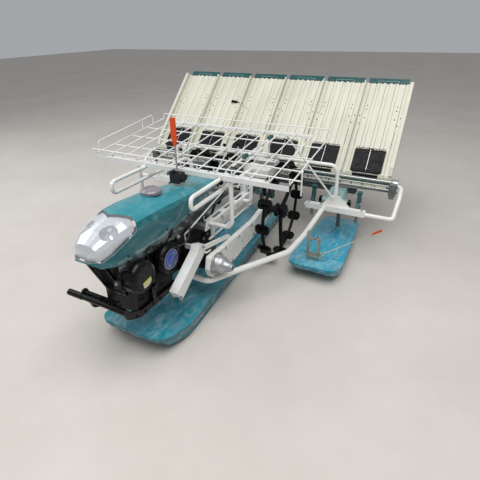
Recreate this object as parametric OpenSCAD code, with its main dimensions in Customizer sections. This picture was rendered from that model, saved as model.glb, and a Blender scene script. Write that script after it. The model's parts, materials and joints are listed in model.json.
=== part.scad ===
// Walk-behind six-row rice transplanter, in millimetres.
// +X is the machine's left side, -Y its front, +Z up. Working places are measured from the lower edge of
// the seedling tray (y = 0) and the ground (z = 0); at_origin() then moves all to the middle of the box.

/* [Machine] */
// Foremost point of the hood's nose
y_nose = -1640; // [-1660:5:-1620]
// Rear end of the handle grips
y_grip_end = 730; // [700:5:780]
// Distance between two planted rows
row_pitch = 300; // [290:2:310]

/* [Wheels] */
// Radius over the fin tips
wheel_r = 326; // [316:2:328]
// Distance of each wheel's middle plane from the machine's middle
wheel_x = 318; // [312:1:320]
// Place of the wheel hubs along the machine
wheel_y = -358; // [-366:1:-356]
// Radius of the rim's tube ring
rim_r = 284; // [270:2:288]
// Thickness of the rim's tube
rim_d = 20; // [16:1:24]
// Width of a lug pad along the axle
lug_w = 88; // [70:2:90]
// Length of a lug pad along the rim
lug_l = 62; // [40:2:66]
// Number of lugs
lug_n = 12; // [10:1:14]
// Diameter of the wheel axle
axle_d = 24; // [20:1:28]

/* [Floats] */
// Foremost point of the middle float
centre_float_y = -1474; // [-1486:2:-1460]
// Half width of the middle float's broad front
centre_float_w = 222; // [204:2:228]
// Half width of the middle float's rear end
centre_tail_w = 132; // [120:2:140]
// Foremost point of the side floats
side_float_y = -586; // [-598:4:-560]
// Half width of a side float
side_float_w = 162; // [144:2:170]
// Rear end of all floats
float_rear_y = 210; // [190:5:240]
// Height of the floats' top deck
float_h = 86; // [72:2:92]
// Height of the floats' upturned front lip
lip_z = 112; // [102:2:116]

/* [Planting units] */
// Place of the crank shafts along the machine
crank_y = -110; // [-112:1:-108]
// Height of the crank shafts
crank_z = 341; // [338:1:344]
// Throw of the cranks
crank_r = 34; // [26:1:36]
// Distance of the two planting arms from their unit's middle
arm_x = 150; // [148:1:156]
// Height of a planting arm between its two bosses
arm_rise = 104; // [90:1:110]
// Lean of a planting arm to the rear over that height
arm_lean = 34; // [20:1:36]
// Thickness of a planting arm along the shaft
arm_t = 30; // [24:1:34]

/* [Seedling tray] */
// Angle of the tray's surface from level
tray_tilt = 44.2; // [42:0.2:46]
// Height of the tray's lower edge
tray_z = 523; // [520:1:528]
// Length of the tray up its slope
tray_len = 708; // [680:2:720]
// Thickness of the tray's floor
tray_floor = 5; // [4:0.5:8]
// Height of the dividers and the outer walls above the floor
rib_h = 34; // [24:1:40]
// Travel of the tray to each side
tray_travel = 140; // [120:5:145]

/* [Guide rail] */
// Half length of the guide rail
rail_half = 958; // [940:2:966]
// Height of the guide rail's upper bars
rail_top = 501; // [496:1:504]
// Height of the guide rail's lower edge
rail_low = 419; // [418:1:428]
// Foremost face of the guide rail
rail_y = -20; // [-20:1:-16]

/* [Spare rack] */
// Half length of the rack's cross angles
rack_half = 490; // [470:5:500]
// Place of the front cross angle
rack_front_y = -943; // [-960:5:-925]
// Height of the front cross angle
rack_front_z = 756; // [746:1:766]
// Place of the rear cross angle
rack_rear_y = -330; // [-345:5:-320]
// Height of the rear cross angle
rack_rear_z = 823; // [812:1:832]
// Distance between two lengthwise wires
rack_pitch = 98; // [90:1:100]
// Thickness of the rack's wires
wire_d = 7; // [5:0.5:8]
// Height of the side rail over the wires
rack_rail_h = 64; // [56:1:72]
// Height of the front wire over the wires
rack_lip_h = 30; // [24:1:36]

/* [Hood] */
// Half width of the hood at its broadest
hood_w = 122; // [110:2:130]
// Wall of the hood
hood_wall = 3; // [2:0.5:4]
// Place of the fuel cap along the machine
cap_y = -1195; // [-1210:5:-1180]
// Diameter of the fuel cap
cap_d = 98; // [90:2:104]

/* [Hidden] */
$fn = 32;
fn_fine = 48;
gap = 0.3;
shaft_gap = 0.1;
y_mid = (y_nose + y_grip_end) / 2;
tray_wall = 17;
tray_half = 3 * row_pitch + tray_wall;
unit_xs = [-2 * row_pitch, 0, 2 * row_pitch];
lanes = [-2.5 : 2.5];

module at_origin() { translate([0, -y_mid, 0]) children(); }
module mirrored(side) { scale([side, 1, 1]) children(); }
module both_sides() { for (side = [-1, 1]) mirrored(side) children(); }

function unit(v) = v / norm(v);
// an arc of radius r in n steps in place of the corner p between a and b
function corner(a, p, b, r, n) = let (u = unit(p - a), v = unit(b - p), turn = acos(u * v),
    x = unit(u - v) * cos(turn / 2) * r - unit(u + v) * sin(turn / 2) * r, c = p - r * tan(turn / 2) * u - x)
    [for (i = [0 : n]) c + x * cos(turn * i / n) + u * r * sin(turn * i / n)];
// a path, and a closed outline, with the corners rounded
function rounded(pts, r, n) = let (m = len(pts) - 1) concat([pts[0]],
    [for (i = [1 : m - 1]) each corner(pts[i - 1], pts[i], pts[i + 1], r, n)], [pts[m]]);
function loop_round(pts, r, n = 3) = let (m = len(pts))
    [for (i = [0 : m - 1]) each corner(pts[(i + m - 1) % m], pts[i], pts[(i + 1) % m], r, n)];
// each point of a ring moved along v into the plane through p square to n
function moved(ring, v, p, n) = [for (q = ring) q + v * ((p - q) * n) / (v * n)];

// straight bar of round section from p to q
module rod(p, q, d) {
    v = q - p;
    translate(p) rotate([0, acos(v[2] / norm(v)), atan2(v[1], v[0])]) cylinder(h = norm(v), d = d);
}
// round tube of diameter d along a path, with its corners bent to radius r
module bent_tube(pts, d, r = 0, sides = 12, steps = 3) {
    path = r > 0 ? rounded(pts, r, steps) : pts;
    m = len(path);
    dirs = [for (i = [0 : m - 2]) unit(path[i + 1] - path[i])];
    a = unit(cross(dirs[0], abs(dirs[0][2]) > 0.8 ? [1, 0, 0] : [0, 0, 1]));
    b = cross(dirs[0], a);
    first = [for (k = [0 : sides - 1]) let (t = 360 * k / sides) path[0] + d / 2 * (a * cos(t) + b * sin(t))];
    rings = [for (i = 0, ring = first; i < m; i = i + 1, ring = i < m
        ? moved(ring, dirs[i - 1], path[i], dirs[i - 1] + dirs[min(i, m - 2)]) : ring) ring];
    polyhedron(points = [for (ring = rings) each ring], faces = concat(
        [[for (k = [0 : sides - 1]) k]], [[for (k = [sides - 1 : -1 : 0]) (m - 1) * sides + k]],
        [for (i = [0 : m - 2], k = [0 : sides - 1]) let (l = (k + 1) % sides)
            [i * sides + l, i * sides + k, (i + 1) * sides + k, (i + 1) * sides + l]]));
}
// box between two corners
module block(a, b) { translate(a) cube(b - a); }
// plate of outline pts: in the Y-Z plane from x0 to x1, in the X-Z plane from y0 to y1, or level
module side_plate(pts, x0, x1) {
    translate([x0, 0, 0]) rotate([90, 0, 90]) linear_extrude(height = x1 - x0) polygon(pts);
}
module cross_plate(pts, y0, y1) {
    translate([0, y1, 0]) rotate([90, 0, 0]) linear_extrude(height = y1 - y0) polygon(pts);
}
module level_plate(pts, z0, z1) { translate([0, 0, z0]) linear_extrude(height = z1 - z0) polygon(pts); }
// shaft along X
module x_shaft(x0, x1, y, z, d) { translate([x0, y, z]) rotate([0, 90, 0]) cylinder(h = x1 - x0, d = d); }
// turned piece on an axis along X through x0: profile points are [radius, distance along X]
module x_turned(pts, x0, y, z) {
    translate([x0, y, z]) rotate([0, 90, 0]) rotate_extrude($fn = fn_fine) polygon(pts);
}

// places of the carrying structure, shared by what seats on it
frame_z0 = 373;
frame_z1 = 413;
frame_front_y = -862;
frame_x0 = 60;
frame_x1 = 82;
plate_x = 146;
plate_t = 6;
plate_top = 4;
member_z0 = 437;
member_z1 = 461;
member_ys = [-960, -480];
cross_y = 46;
cross_z = 385;
cross_s = 50;
beam_y = -186;
beam_z = 325;
beam_s = 36;
beam_x0 = 430;
beam_x1 = 812;
beam_end_x = 552;
box_x = 110;
box_y0 = -1120;
box_z0 = 245;
box_z1 = 425;
pivot_y = -1050;
pivot_z = 307;
case_x0 = 214;
case_x1 = 244;
base_x0 = 92;
base_x1 = 104;
stay_y = -1382;
stay_z = 547.4;
engine_front_y = -1480;
bumper_z = 375;
bumper_y = -1612;
bumper_rod_x = 70;
axle_bore = axle_d + 2 * shaft_gap;

module main_frame() color("dimgray") {
    both_sides() {
        block([frame_x0, frame_front_y, frame_z0], [frame_x1, cross_y - cross_s / 2, frame_z1]);
        block([frame_x0, member_ys[1] - 10, frame_z1], [frame_x1, member_ys[1] + 10, member_z0]);
    }
    block([-30, member_ys[0] - 18, box_z1], [30, member_ys[0] + 18, member_z0]);
    for (y = member_ys) block([-plate_x, y - 18, member_z0], [plate_x, y + 18, member_z1]);
}
// side plates with a slotted top flange, and a gear rod below each
module frame_plates() color("lightgray") both_sides() {
    side_plate([[-990, 442], [-463, 419], [-463, member_z1 + gap + plate_top], [-900,
        member_z1 + gap + plate_top],
        [-970, 490]], plate_x, plate_x + plate_t);
    difference() {
        block([plate_x - 44, -930, member_z1 + gap], [plate_x + 1, -463, member_z1 + gap + plate_top]);
        for (y = [-830, -700, -570]) block([plate_x - 32, y - 42, member_z0], [plate_x - 12, y + 42,
            member_z1 + 9]);
    }
    rod([plate_x + 12, -969, 387], [plate_x + 12, -464, 389], 12);
    for (y = [-930, -520]) block([plate_x + plate_t - 1, y - 10, 381], [plate_x + plate_t + 12, y + 10, 445]);
}
module engine_base() color([0.08, 0.08, 0.09]) {
    both_sides() {
        difference() {
            side_plate(loop_round([[-1602, 392], [-1560, 275], [-1480, 232], [-1180, 228], [box_y0, box_z0],
                [box_y0, box_z0 + 22], [-1190, 254], [-1470, 266], [-1545, 306], [-1574, 392]], 7), base_x0,
                    base_x1);
            for (y = [-1560, -1450, -1240]) x_shaft(base_x0 - 2, base_x1 + 2, y, y < -1500 ? 330 : 246, 14);
        }
        block([base_x1 - 1, stay_y - 12, 240], [base_x1 + 4, stay_y + 12, stay_z]);
        block([base_x1 + 3, stay_y - 12, stay_z - 11], [hood_w - 1, stay_y + 12, stay_z]);
    }
    block([-base_x0, -1470, 238], [base_x0, -1200, 250]);
    block([-base_x0, -1596, 363], [base_x0, -1580, 387]);
}
// cross bar with a thicker end sleeve on each side, on two rods
sleeve_d = 29;
module bumper() color([0.06, 0.06, 0.07]) {
    x_shaft(-84, 84, bumper_y, bumper_z, 24);
    both_sides() {
        x_shaft(83, 163, bumper_y, bumper_z, sleeve_d);
        rod([bumper_rod_x, bumper_y, bumper_z], [bumper_rod_x, -1596, bumper_z], 18);
    }
}
// the grille leans back under the nose; height z of its back face lies at grille_back(z)
grille_lean = 24;
grille_top = [-1589, 545];
grille_t = 14;
function grille_back(z) = let (down = (grille_t * sin(grille_lean) + grille_top[1] - z) / cos(grille_lean))
    grille_top[0] + grille_t * cos(grille_lean) + down * sin(grille_lean);
grille_seat_z = 398;
module engine_block() color("dimgray") {
    block([-90, engine_front_y, 250], [90, -1220, 535]);
    block([-60, -1221, 265], [60, box_y0, 385]);
    both_sides() block([49, grille_back(grille_seat_z) + gap, grille_seat_z],
        [57, engine_front_y + 1, grille_seat_z + 8]);
    for (z = [300 : 14 : 342]) block([89, -1460, z], [94, -1380, z + 6]);
    block([62, -1543, 404], [90, engine_front_y + 1, 498]);
    block([40, -1200, 384], [100, -1128, 470]);
    x_shaft(60, 118, -1160, 500, 64);
}
// turned covers: a rounded drum, and a starter ring round a sunk disc
module muffler_cover() color([0.07, 0.07, 0.07]) {
    x_turned([[0, 0], [72, 0], [76, 4], [76, 44], [73, 54], [66, 61], [56, 65], [50, 65], [47, 62], [0, 62]],
        90,
        -1470, 455);
    x_turned([[0, 0], [14, 0], [14, 22], [10, 22], [10, 60], [0, 60]], 90, -1410, 370);
}
starter_y = -1284;
starter_z = 440;
starter_r = 77;
module recoil_starter() color([0.07, 0.07, 0.07]) difference() {
    x_turned([[0, 0], [starter_r - 5, 0], [starter_r, 5], [starter_r, 44], [starter_r - 6, 56], [60, 62],
        [54, 60],
        [50, 53], [0, 53]], 90, starter_y, starter_z);
    for (k = [0 : 13]) translate([90, starter_y, starter_z]) rotate([k * 360 / 14, 0, 0])
        block([12, -5, starter_r - 5], [38, 5, starter_r + 5]);
}
module front_grille() color([0.07, 0.07, 0.07]) translate([0, grille_top[0], grille_top[1]])
    rotate([grille_lean, 0, 0]) {
    difference() {
        block([-58, 0, -218], [58, grille_t, 0]);
        block([-48, -1, -208], [48, grille_t + 1, -8]);
    }
    for (k = [0 : 9]) translate([0, 6, -20 - 20 * k]) rotate([-35, 0, 0]) block([-49, -7, -2], [49, 7, 2]);
    for (x = [-16, 16]) block([x - 2, 9, -209], [x + 2, 13, -7]);
}

// the hood's cross sections: [y, half width, lower edge height, crease height, crown height]
hood_rows = [[y_nose, 40, 585, 608, 624], [-1614, 72, 559, 628, 664], [-1560, 98, 546, 646, 700],
    [-1470, 116, 543, 656, 724], [-1340, hood_w, 551, 660, 722], [-1190, hood_w, 558, 656, 707],
    [-1050, 112, 569, 644, 686], [-900, 99, 588, 632, 662], [-690, 84, 606, 624, 642]];
// points from the crease to the crown: [share of the half width, share of the rise]
crown_shares = [[1, 0], [0.9, 0.44], [0.66, 0.78], [0.34, 0.95]];
function hood_ring(r, t) = let (w = r[1] - t, rise = r[4] - t - r[3],
    side = [for (p = crown_shares) [w * p[0], r[3] + rise * p[1]]], m = len(side) - 1)
    concat([[0.94 * w, r[2]]], side, [[0, r[4] - t]], [for (i = [m : -1 : 0]) [-side[i][0], side[i][1]]],
        [[-0.94 * w, r[2]]]);
// solid through the rows, t inside the outer skin, with its underside z_drop lower
module loft(rows, t, z_drop) {
    n = len(hood_ring(rows[0], t));
    m = len(rows);
    polyhedron(points = [for (r = rows, p = hood_ring(r, t)) [p[0], r[0],
        p[1] - (p[1] == r[2] ? z_drop : 0)]],
        faces = concat([[for (i = [n - 1 : -1 : 0]) i]], [[for (i = [0 : n - 1]) (m - 1) * n + i]],
            [for (k = [0 : m - 2], i = [0 : n - 1]) [k * n + i, k * n + (i + 1) % n, (k + 1) * n + i]],
            [for (k = [0 : m - 2], i = [0 : n - 1]) [k * n + (i + 1) % n, (k + 1) * n + (i + 1) % n,
                (k + 1) * n + i]]));
}
// the rows with both end sections moved inwards by e
function inner(rows, e) = [for (i = [0 : len(rows) - 1]) let (r = rows[i])
    [i == 0 ? r[0] + e : i == len(rows) - 1 ? r[0] - e : r[0], r[1], r[2], r[3], r[4]]];
// the headlight's field, g inside its border: from the side, and from above with the bonnet's tip between
module lamp_field(g) intersection() {
    side_plate([[y_nose - 60 - g, 593 + g], [y_nose, 593 + g], [-1604, 584 + g], [-1442 - g, 656 + g],
        [-1428 - g, 690], [-1400 - g, 845], [y_nose - 60 - g, 845]], -200 + g, 200 - g);
    level_plate([[-198 + g, y_nose - 59 - g], [198 - g, y_nose - 59 - g], [198 - g, -1360 - g], [104,
        -1410 - g],
        [0, -1474 - 1.2 * g], [-104, -1410 - g], [-198 + g, -1360 - g]], 560, 840);
}
cap_z = lookup(cap_y - cap_d / 2 - 2, [for (r = hood_rows) [r[0], r[4]]]);
neck_d = 80;
module hood() color("teal") difference() {
    loft(hood_rows, 0, 0);
    loft(inner(hood_rows, 4), hood_wall, 20);
    lamp_field(0);
    translate([0, cap_y, cap_z - 60]) cylinder(h = 80, d = neck_d + 2 * gap);
}
module headlight_lens() color([0.85, 0.9, 0.92, 0.5]) difference() {
    intersection() {
        loft(hood_rows, 0, 0);
        lamp_field(gap);
    }
    loft(inner(hood_rows, 4), hood_wall, 20);
}
// white housing under the lens with a round lamp on each side
lamp_x = 50;
lamp_r = 37;
shell_in = 12;
module lamp_places() both_sides() translate([lamp_x, -1514, 660]) rotate([52, 0, 20]) children();
module headlight_reflector() color("white") {
    difference() {
        intersection() {
            loft(inner(hood_rows, 14), shell_in, 0);
            lamp_field(3);
        }
        loft(inner(hood_rows, 18), shell_in + 3, 20);
        lamp_places() translate([0, 0, -60]) cylinder(h = 120, r = lamp_r - 1.5);
    }
    intersection() {
        loft(inner(hood_rows, 14), shell_in, 0);
        lamp_places() rotate_extrude($fn = fn_fine) polygon([[0, -34], [12, -34], [24, -29], [lamp_r - 2,
            -10],
            [lamp_r, 4], [lamp_r, 50], [lamp_r - 3, 50], [lamp_r - 3, 4], [lamp_r - 5, -8], [22, -26], [12,
                -30],
            [0, -30]]);
    }
    both_sides() block([hood_rows[3][1] - shell_in - 5, hood_rows[3][0] - 6, 630],
        [(hood_rows[3][1] - hood_wall) * 0.985 - gap, hood_rows[3][0] + 6, 652]);
}
module tank_cap() color([0.6, 0.6, 0.62]) translate([0, cap_y, cap_z]) {
    translate([0, 0, -46]) cylinder(h = 48, d = neck_d);
    translate([0, 0, gap]) rotate_extrude($fn = fn_fine) polygon([[0, 0], [cap_d / 2, 0], [cap_d / 2, 13],
        [cap_d / 2 - 6, 18], [30, 24], [27, 24], [25, 20], [0, 20]]);
    for (k = [0 : 11]) rotate([0, 0, k * 30]) block([cap_d / 2 - 1, -4, 2], [cap_d / 2 + 2, 4, 12]);
}
// gearbox casting with flanged side covers
module transmission() color([0.16, 0.17, 0.18]) {
    side_plate(loop_round([[box_y0, box_z0], [box_y0, box_z1], [frame_front_y, box_z1], [frame_front_y,
        box_z0 + 40],
        [-900, box_z0]], 12), -box_x + 8, box_x - 8);
    both_sides() {
        x_shaft(box_x - 9, box_x, pivot_y, pivot_z, 140);
        x_shaft(box_x - 9, box_x, -925, 350, 90);
        x_shaft(box_x - 1, case_x0, pivot_y, pivot_z, 90);
    }
    block([-box_x + 8, -1010, box_z0 - 4], [box_x - 8, -990, box_z1]);
}
// chain case outline along the swing arm
case_pts = loop_round([[-1112, 300], [-1094, 366], [-1000, 360], [-912, 354], [-589, 345], [-352, 390],
    [-300, 372],
    [-288, 330], [-300, 286], [-352, 270], [-567, 249], [-862, 219], [-1000, 240], [-1094, 248]], 12);
module wheel_arm(s) color("white") mirrored(s) difference() {
    union() {
        side_plate(case_pts, case_x0, case_x1);
        x_shaft(case_x1 - 1, case_x1 + 5, wheel_y, wheel_r, 78);
        for (p = [[-930, 336], [-760, 330], [-600, 328], [-590, 268], [-760, 246], [-930, 240]])
            x_shaft(case_x1 - 1, case_x1 + 3, p[0], p[1], 20);
    }
    x_shaft(case_x0 - 5, case_x1 + 8, wheel_y, wheel_r, axle_bore);
}
// bell-shaped castings over the arms' pivots, with webs up to the bearing nose
cone_profile = [[0, 0], [60, 0], [60, 9], [50, 12], [47, 30], [42, 44], [33, 56], [28, 68], [26, 80], [19,
    92], [17, 96],
    [11, 96], [11, 74], [0, 74]];
module pivot_cones() color("silver") both_sides() {
    x_turned(cone_profile, case_x1 + gap, pivot_y, pivot_z);
    for (a = [30 : 60 : 330]) translate([case_x1 + gap, pivot_y, pivot_z]) rotate([a, 0, 0])
        cross_plate([[5, 30], [5, 56], [14, 52], [62, 30], [62, 20]], -3, 3);
}
module lift_channels() color("white") both_sides() {
    difference() {
        side_plate([[-1072, 421], [-1130, 445], [-1150, 415], [-1338, 297], [-1308, 241], [-1092, 385]], 158,
            206);
        side_plate([[-1060, 445], [-1100, 397], [-1330, 253], [-1300, 225], [-1000, 345]], 162, 202);
        x_shaft(150, 212, -1308, 276, 18);
    }
    x_shaft(152, 212, -1308, 276, 17.8);
    block([box_x - 8, -1112, 395], [159, -1098, 419]);
}
// lever plates with their gussets, and the control rod to the frame's middle
module lift_links() color("white") {
    both_sides() {
        side_plate(loop_round([[-1116, 410], [-1100, 433], [-868, 379], [-842, 365], [-850, 347], [-880,
            357]], 6),
            206 + gap, case_x0 - gap);
        side_plate([[-1120, 405], [-1108, 404], [-1074, 384], [-1040, 378], [-1062, 374], [-1090, 380]],
            206 + gap, case_x0 - gap);
    }
    bent_tube([[104, -1104, box_z1 + gap], [106, -1112, 474], [120, -1060, 500], [120, -708, 578], [120,
        -524, 527],
        [120, -524, member_z1 + plate_top + 2 * gap]], 8, sides = 8);
}

// outline of a float from above, e inside its edge
function float_plan(front, half, tail, r, e) = let (rear = float_rear_y - e, y1 = front + r * 1.3)
    loop_round([[-half + 0.12 * half + e, front + e], [half - 0.12 * half - e, front + e], [half - e, y1],
        [tail - e, rear], [-tail + e, rear], [-half + e, y1]], r * 0.55, 4);
// outlines from the side: the deck's skin, e below its top, and the hull with its rising bow
function deck_line(front, e) = [[front, lip_z - e], [front + 70, lip_z - 10 - e], [front + 180, float_h - e],
    [cross_y + 60, float_h - e], [float_rear_y, float_h - 14 - e]];
function hull_side(front) = concat(deck_line(front, 6), [[float_rear_y, 30], [float_rear_y - 60, 0],
    [front + 260, 0],
    [front + 150, 14], [front + 70, 42], [front, lip_z - 30]]);
flange = 13;
module float_body(front, half, tail, r) {
    deck = deck_line(front, 0);
    under = deck_line(front, flange);
    intersection() {
        level_plate(float_plan(front, half, tail, r, 0), 0, 200);
        side_plate(concat(deck, [for (i = [len(under) - 1 : -1 : 0]) under[i]]), -half - 1, half + 1);
    }
    intersection() {
        level_plate(float_plan(front, half, tail, r, flange), 0, 200);
        side_plate(hull_side(front), -half - 1, half + 1);
    }
    for (x = [-half * 0.56, half * 0.56])
        block([x - 9, front + 190, float_h - 2], [x + 9, cross_y - 60, float_h + 5]);
}
module centre_float() color([0.1, 0.5, 0.55]) float_body(centre_float_y, centre_float_w, centre_tail_w, 150);
module side_float(s) color([0.1, 0.5, 0.55]) translate([s * 2 * row_pitch, 0, 0])
    float_body(side_float_y, side_float_w, side_float_w - 34, 100);
front_link_y = -688;
module float_brackets() color("dimgray") {
    for (x = unit_xs) block([x - 12, cross_y - 12, float_h + gap], [x + 12, cross_y + 12,
        cross_z - cross_s / 2]);
    block([-12, front_link_y - 12, float_h + gap], [12, front_link_y + 12, frame_z0 - 12]);
    block([-frame_x1, front_link_y - 12, frame_z0 - 12], [frame_x1, front_link_y + 12, frame_z0]);
}
gusset_z = beam_z + 84;
loop_z = 468;
module side_beam(s) color("white") mirrored(s) {
    block([beam_x0, beam_y - beam_s / 2, beam_z - beam_s / 2], [beam_x1, beam_y + beam_s / 2,
        beam_z + beam_s / 2]);
    bent_tube([[beam_x1 - 10, beam_y, beam_z - 4], [rail_half + 18, beam_y, beam_z - 4], [rail_half + 30,
        -90, 425],
        [rail_half + 26, -8, loop_z], [rail_half + gap, -8, loop_z]], 26, 20);
    cross_plate([[530, beam_z + 10], [585, gusset_z], [640, gusset_z], [720, beam_z + 10]], beam_y + 14,
        beam_y + 20);
    x_shaft(beam_x0 - 8, beam_x0 + 1, beam_y, beam_z, beam_s - 8);
}
// bent tubes from the gearbox round the wheels to the beams, each with a clamp at its bend
tube_base_y = -1080;
module side_tubes() color("white") both_sides() {
    bent_tube([[box_x - 20, tube_base_y, 207], [210, tube_base_y - 5, 207], [330, -910, 221], [500, -690,
        245],
        [525, -480, 263], [beam_end_x, -260, beam_z], [beam_end_x, beam_y - beam_s / 2, beam_z]], 32, 60);
    block([box_x - 32, tube_base_y - 20, 191], [box_x - 10, tube_base_y + 20, box_z0]);
}
arch_y = beam_y + 20 + 12 + gap;
arch_z = 604;
arch_x = 612;
module arch_tube() color("white") bent_tube([[arch_x, arch_y, 388], [arch_x, arch_y, arch_z],
    [-arch_x, arch_y, arch_z], [-arch_x, arch_y, 388]], 24, 50, steps = 6);
module cross_tube() color("dimgray")
    block([-700, cross_y - cross_s / 2, cross_z - cross_s / 2], [700, cross_y + cross_s / 2,
        cross_z + cross_s / 2]);

// guide rail: two upper bars with a sunk strip between, a back plate, two lower bars and an end cap on each side
bar_d = 14;
bar_end = rail_half - 26;
strip_y = rail_y + bar_d + gap;
module guide_rail() color("silver") {
    x_shaft(-bar_end, bar_end, rail_y + bar_d / 2, rail_top - bar_d / 2, bar_d);
    block([-bar_end, strip_y, rail_top - 8], [bar_end, strip_y + 24, rail_top]);
    block([-bar_end, strip_y + 24 + gap, rail_top - 20], [bar_end, strip_y + 34, rail_top]);
    block([-bar_end, strip_y + 3, rail_low + 6], [bar_end, strip_y + 7, rail_top - 8 - gap]);
    x_shaft(-bar_end, bar_end, rail_y + 6, rail_low + 21, 11);
    block([-bar_end, rail_y + 1, rail_low], [bar_end, strip_y + 7, rail_low + 6 - gap]);
    both_sides() {
        side_plate([[rail_y, rail_low + 4], [rail_y, rail_top - 10], [rail_y + 8, rail_top], [strip_y + 34,
            rail_top],
            [strip_y + 34, rail_low + 14], [strip_y + 20, rail_low], [rail_y + 6, rail_low]], bar_end + gap,
                rail_half);
        bent_tube([[rail_half - 12, rail_y + 10, rail_low - gap], [rail_half - 12, rail_y + 10,
            rail_low - 20],
            [rail_half - 12, rail_y - 24, rail_low - 20]], 7, 8, sides = 8);
    }
    for (i = lanes)
        side_plate([[cross_y - cross_s / 2, cross_z + cross_s / 2], [cross_y + 12, cross_z + cross_s / 2],
            [cross_y + 12, rail_low + 8], [strip_y + 7 + gap, rail_low + 46], [strip_y + 7 + gap,
                rail_low + 18]],
            i * row_pitch - 12, i * row_pitch + 12);
}
// gate blocks in front of the back plate, four to a lane with the planting slot between the middle two
gate_w = 66;
module rail_gates() color([0.9, 0.88, 0.8]) for (i = lanes, k = [-1.5 : 1.5])
    block([i * row_pitch + k * (gate_w + 8) - gate_w / 2, rail_y + 3, rail_low + 27 + gap],
        [i * row_pitch + k * (gate_w + 8) + gate_w / 2, strip_y + 3 - gap, rail_top - bar_d - gap]);

// planting cases with a round cover and a bearing tube for the crank shaft
module planting_cases() color([0.5, 0.7, 0.68]) for (x = unit_xs) difference() {
    union() {
        side_plate(loop_round([[cross_y - cross_s / 2, 360], [cross_y - cross_s / 2, 410], [-58, 406],
            [-128, 378], [-150, 341], [-140, 308], [-108, 292], [-58, 300]], 9), x - 50, x + 50);
        for (s = [-1, 1]) translate([x, 0, 0]) mirrored(s) {
            x_turned([[0, 0], [40, 0], [40, 5], [34, 9], [0, 9]], 49, -62, 352);
            x_turned([[0, 0], [14, 0], [14, 6], [0, 6]], 57, -62, 352);
            for (p = [[-128, 306], [-142, 352], [-88, 396], [0, 398], [0, 368]]) x_shaft(49, 54, p[0], p[1],
                13);
        }
        x_shaft(x - 82, x + 82, crank_y, crank_z, 52);
    }
    x_shaft(x - 90, x + 90, crank_y, crank_z, 18 + 2 * shaft_gap);
}
// places on the rack: t runs from the front cross angle to the rear one, up is measured above them
function on(t, up) = [0, rack_front_y + (rack_rear_y - rack_front_y) * t,
    rack_front_z + (rack_rear_z - rack_front_z) * t + up];
rack_t0 = -0.02;
rack_t1 = 1.05;
wire_up = gap + wire_d / 2;
wires_x = 6 * rack_pitch;
over_wire = wire_up + wire_d / 2 + gap + 0.06 * wire_d;
module spare_rack() color("white") {
    for (t = [0, 1]) translate(on(t, 0)) difference() {
        block([-rack_half, -18, -14], [rack_half, 14, 0]);
        block([-rack_half - 1, -15, -15], [rack_half + 1, 15, -3]);
    }
    for (i = [-6 : 6])
        rod(on(rack_t0, wire_up) + [i * rack_pitch, 0, 0], on(rack_t1, wire_up) + [i * rack_pitch, 0, 0],
            wire_d);
    for (t = [0.25, 0.5, 0.75])
        rod(on(t, -wire_d / 2) - [wires_x + 4, 0, 0], on(t, -wire_d / 2) + [wires_x + 4, 0, 0], wire_d);
}
// upright from the lengthwise wires up to a rail
module riser(t, x, up) rod(on(t, over_wire) + [x, 0, 0], on(t, up) + [x, 0, 0], wire_d);
rail_x = wires_x;
module rack_rails() color("white") {
    lip = on(rack_t0 + 0.006, rack_lip_h);
    for (i = [-6 : 6]) riser(rack_t0 + 0.006, i * rack_pitch, rack_lip_h - wire_d / 2 - gap);
    rod(lip - [wires_x + 20, 0, 0], lip + [wires_x + 52, 0, 0], wire_d);
    side_path = [on(0.035, over_wire), on(0.035, rack_rail_h), on(0.842, rack_rail_h),
        on(0.842, over_wire)];
    bent_tube([for (p = side_path) p - [rail_x, 0, 0]], wire_d, 14, sides = 8);
    riser(0.67, -rail_x, rack_rail_h - wire_d / 2);
    rear_path = [on(1.04, over_wire), on(1.04, rack_lip_h + 6)];
    bent_tube([rear_path[0] - [wires_x, 0, 0], rear_path[1] - [wires_x, 0, 0], rear_path[1] + [wires_x, 0, 0],
        rear_path[0] + [wires_x, 0, 0]], wire_d, 14, sides = 8);
    leg = on(0.22, 0)[1];
    under = -wire_d / 2 - gap;
    bent_tube([on(0.24, wire_up) + [wires_x + 8, 0, 0], on(0.22, wire_up) + [wires_x + 8, 0, 0],
        [wires_x + 8, leg, rack_front_z - 104]], 8, 8, sides = 8);
}
angle_under = -3 - gap;
hand_z = rack_front_z - 14 - gap - 10;
post_x = 284;
module rack_support() color("white") both_sides() {
    bent_tube([[230, -880, hand_z], [230, -1212, hand_z], [230, -1212, hand_z - 60], [230, -600, hand_z - 60],
        [210, -560, hand_z - 80], [204, -560, 448], [plate_x + plate_t, -560, 448]], 20, 24);
    bent_tube([[330, rack_rear_y + 6, rack_rear_z - 20], [600, beam_y + 14 - 6 - gap, gusset_z - 14]], 12);
    bent_tube([[post_x, rack_front_y, rack_front_z + angle_under], [post_x, rack_front_y, 500],
        [post_x - 24, rack_front_y, 470], [plate_x + plate_t, rack_front_y, 470]], 22, 24);
}
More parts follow.
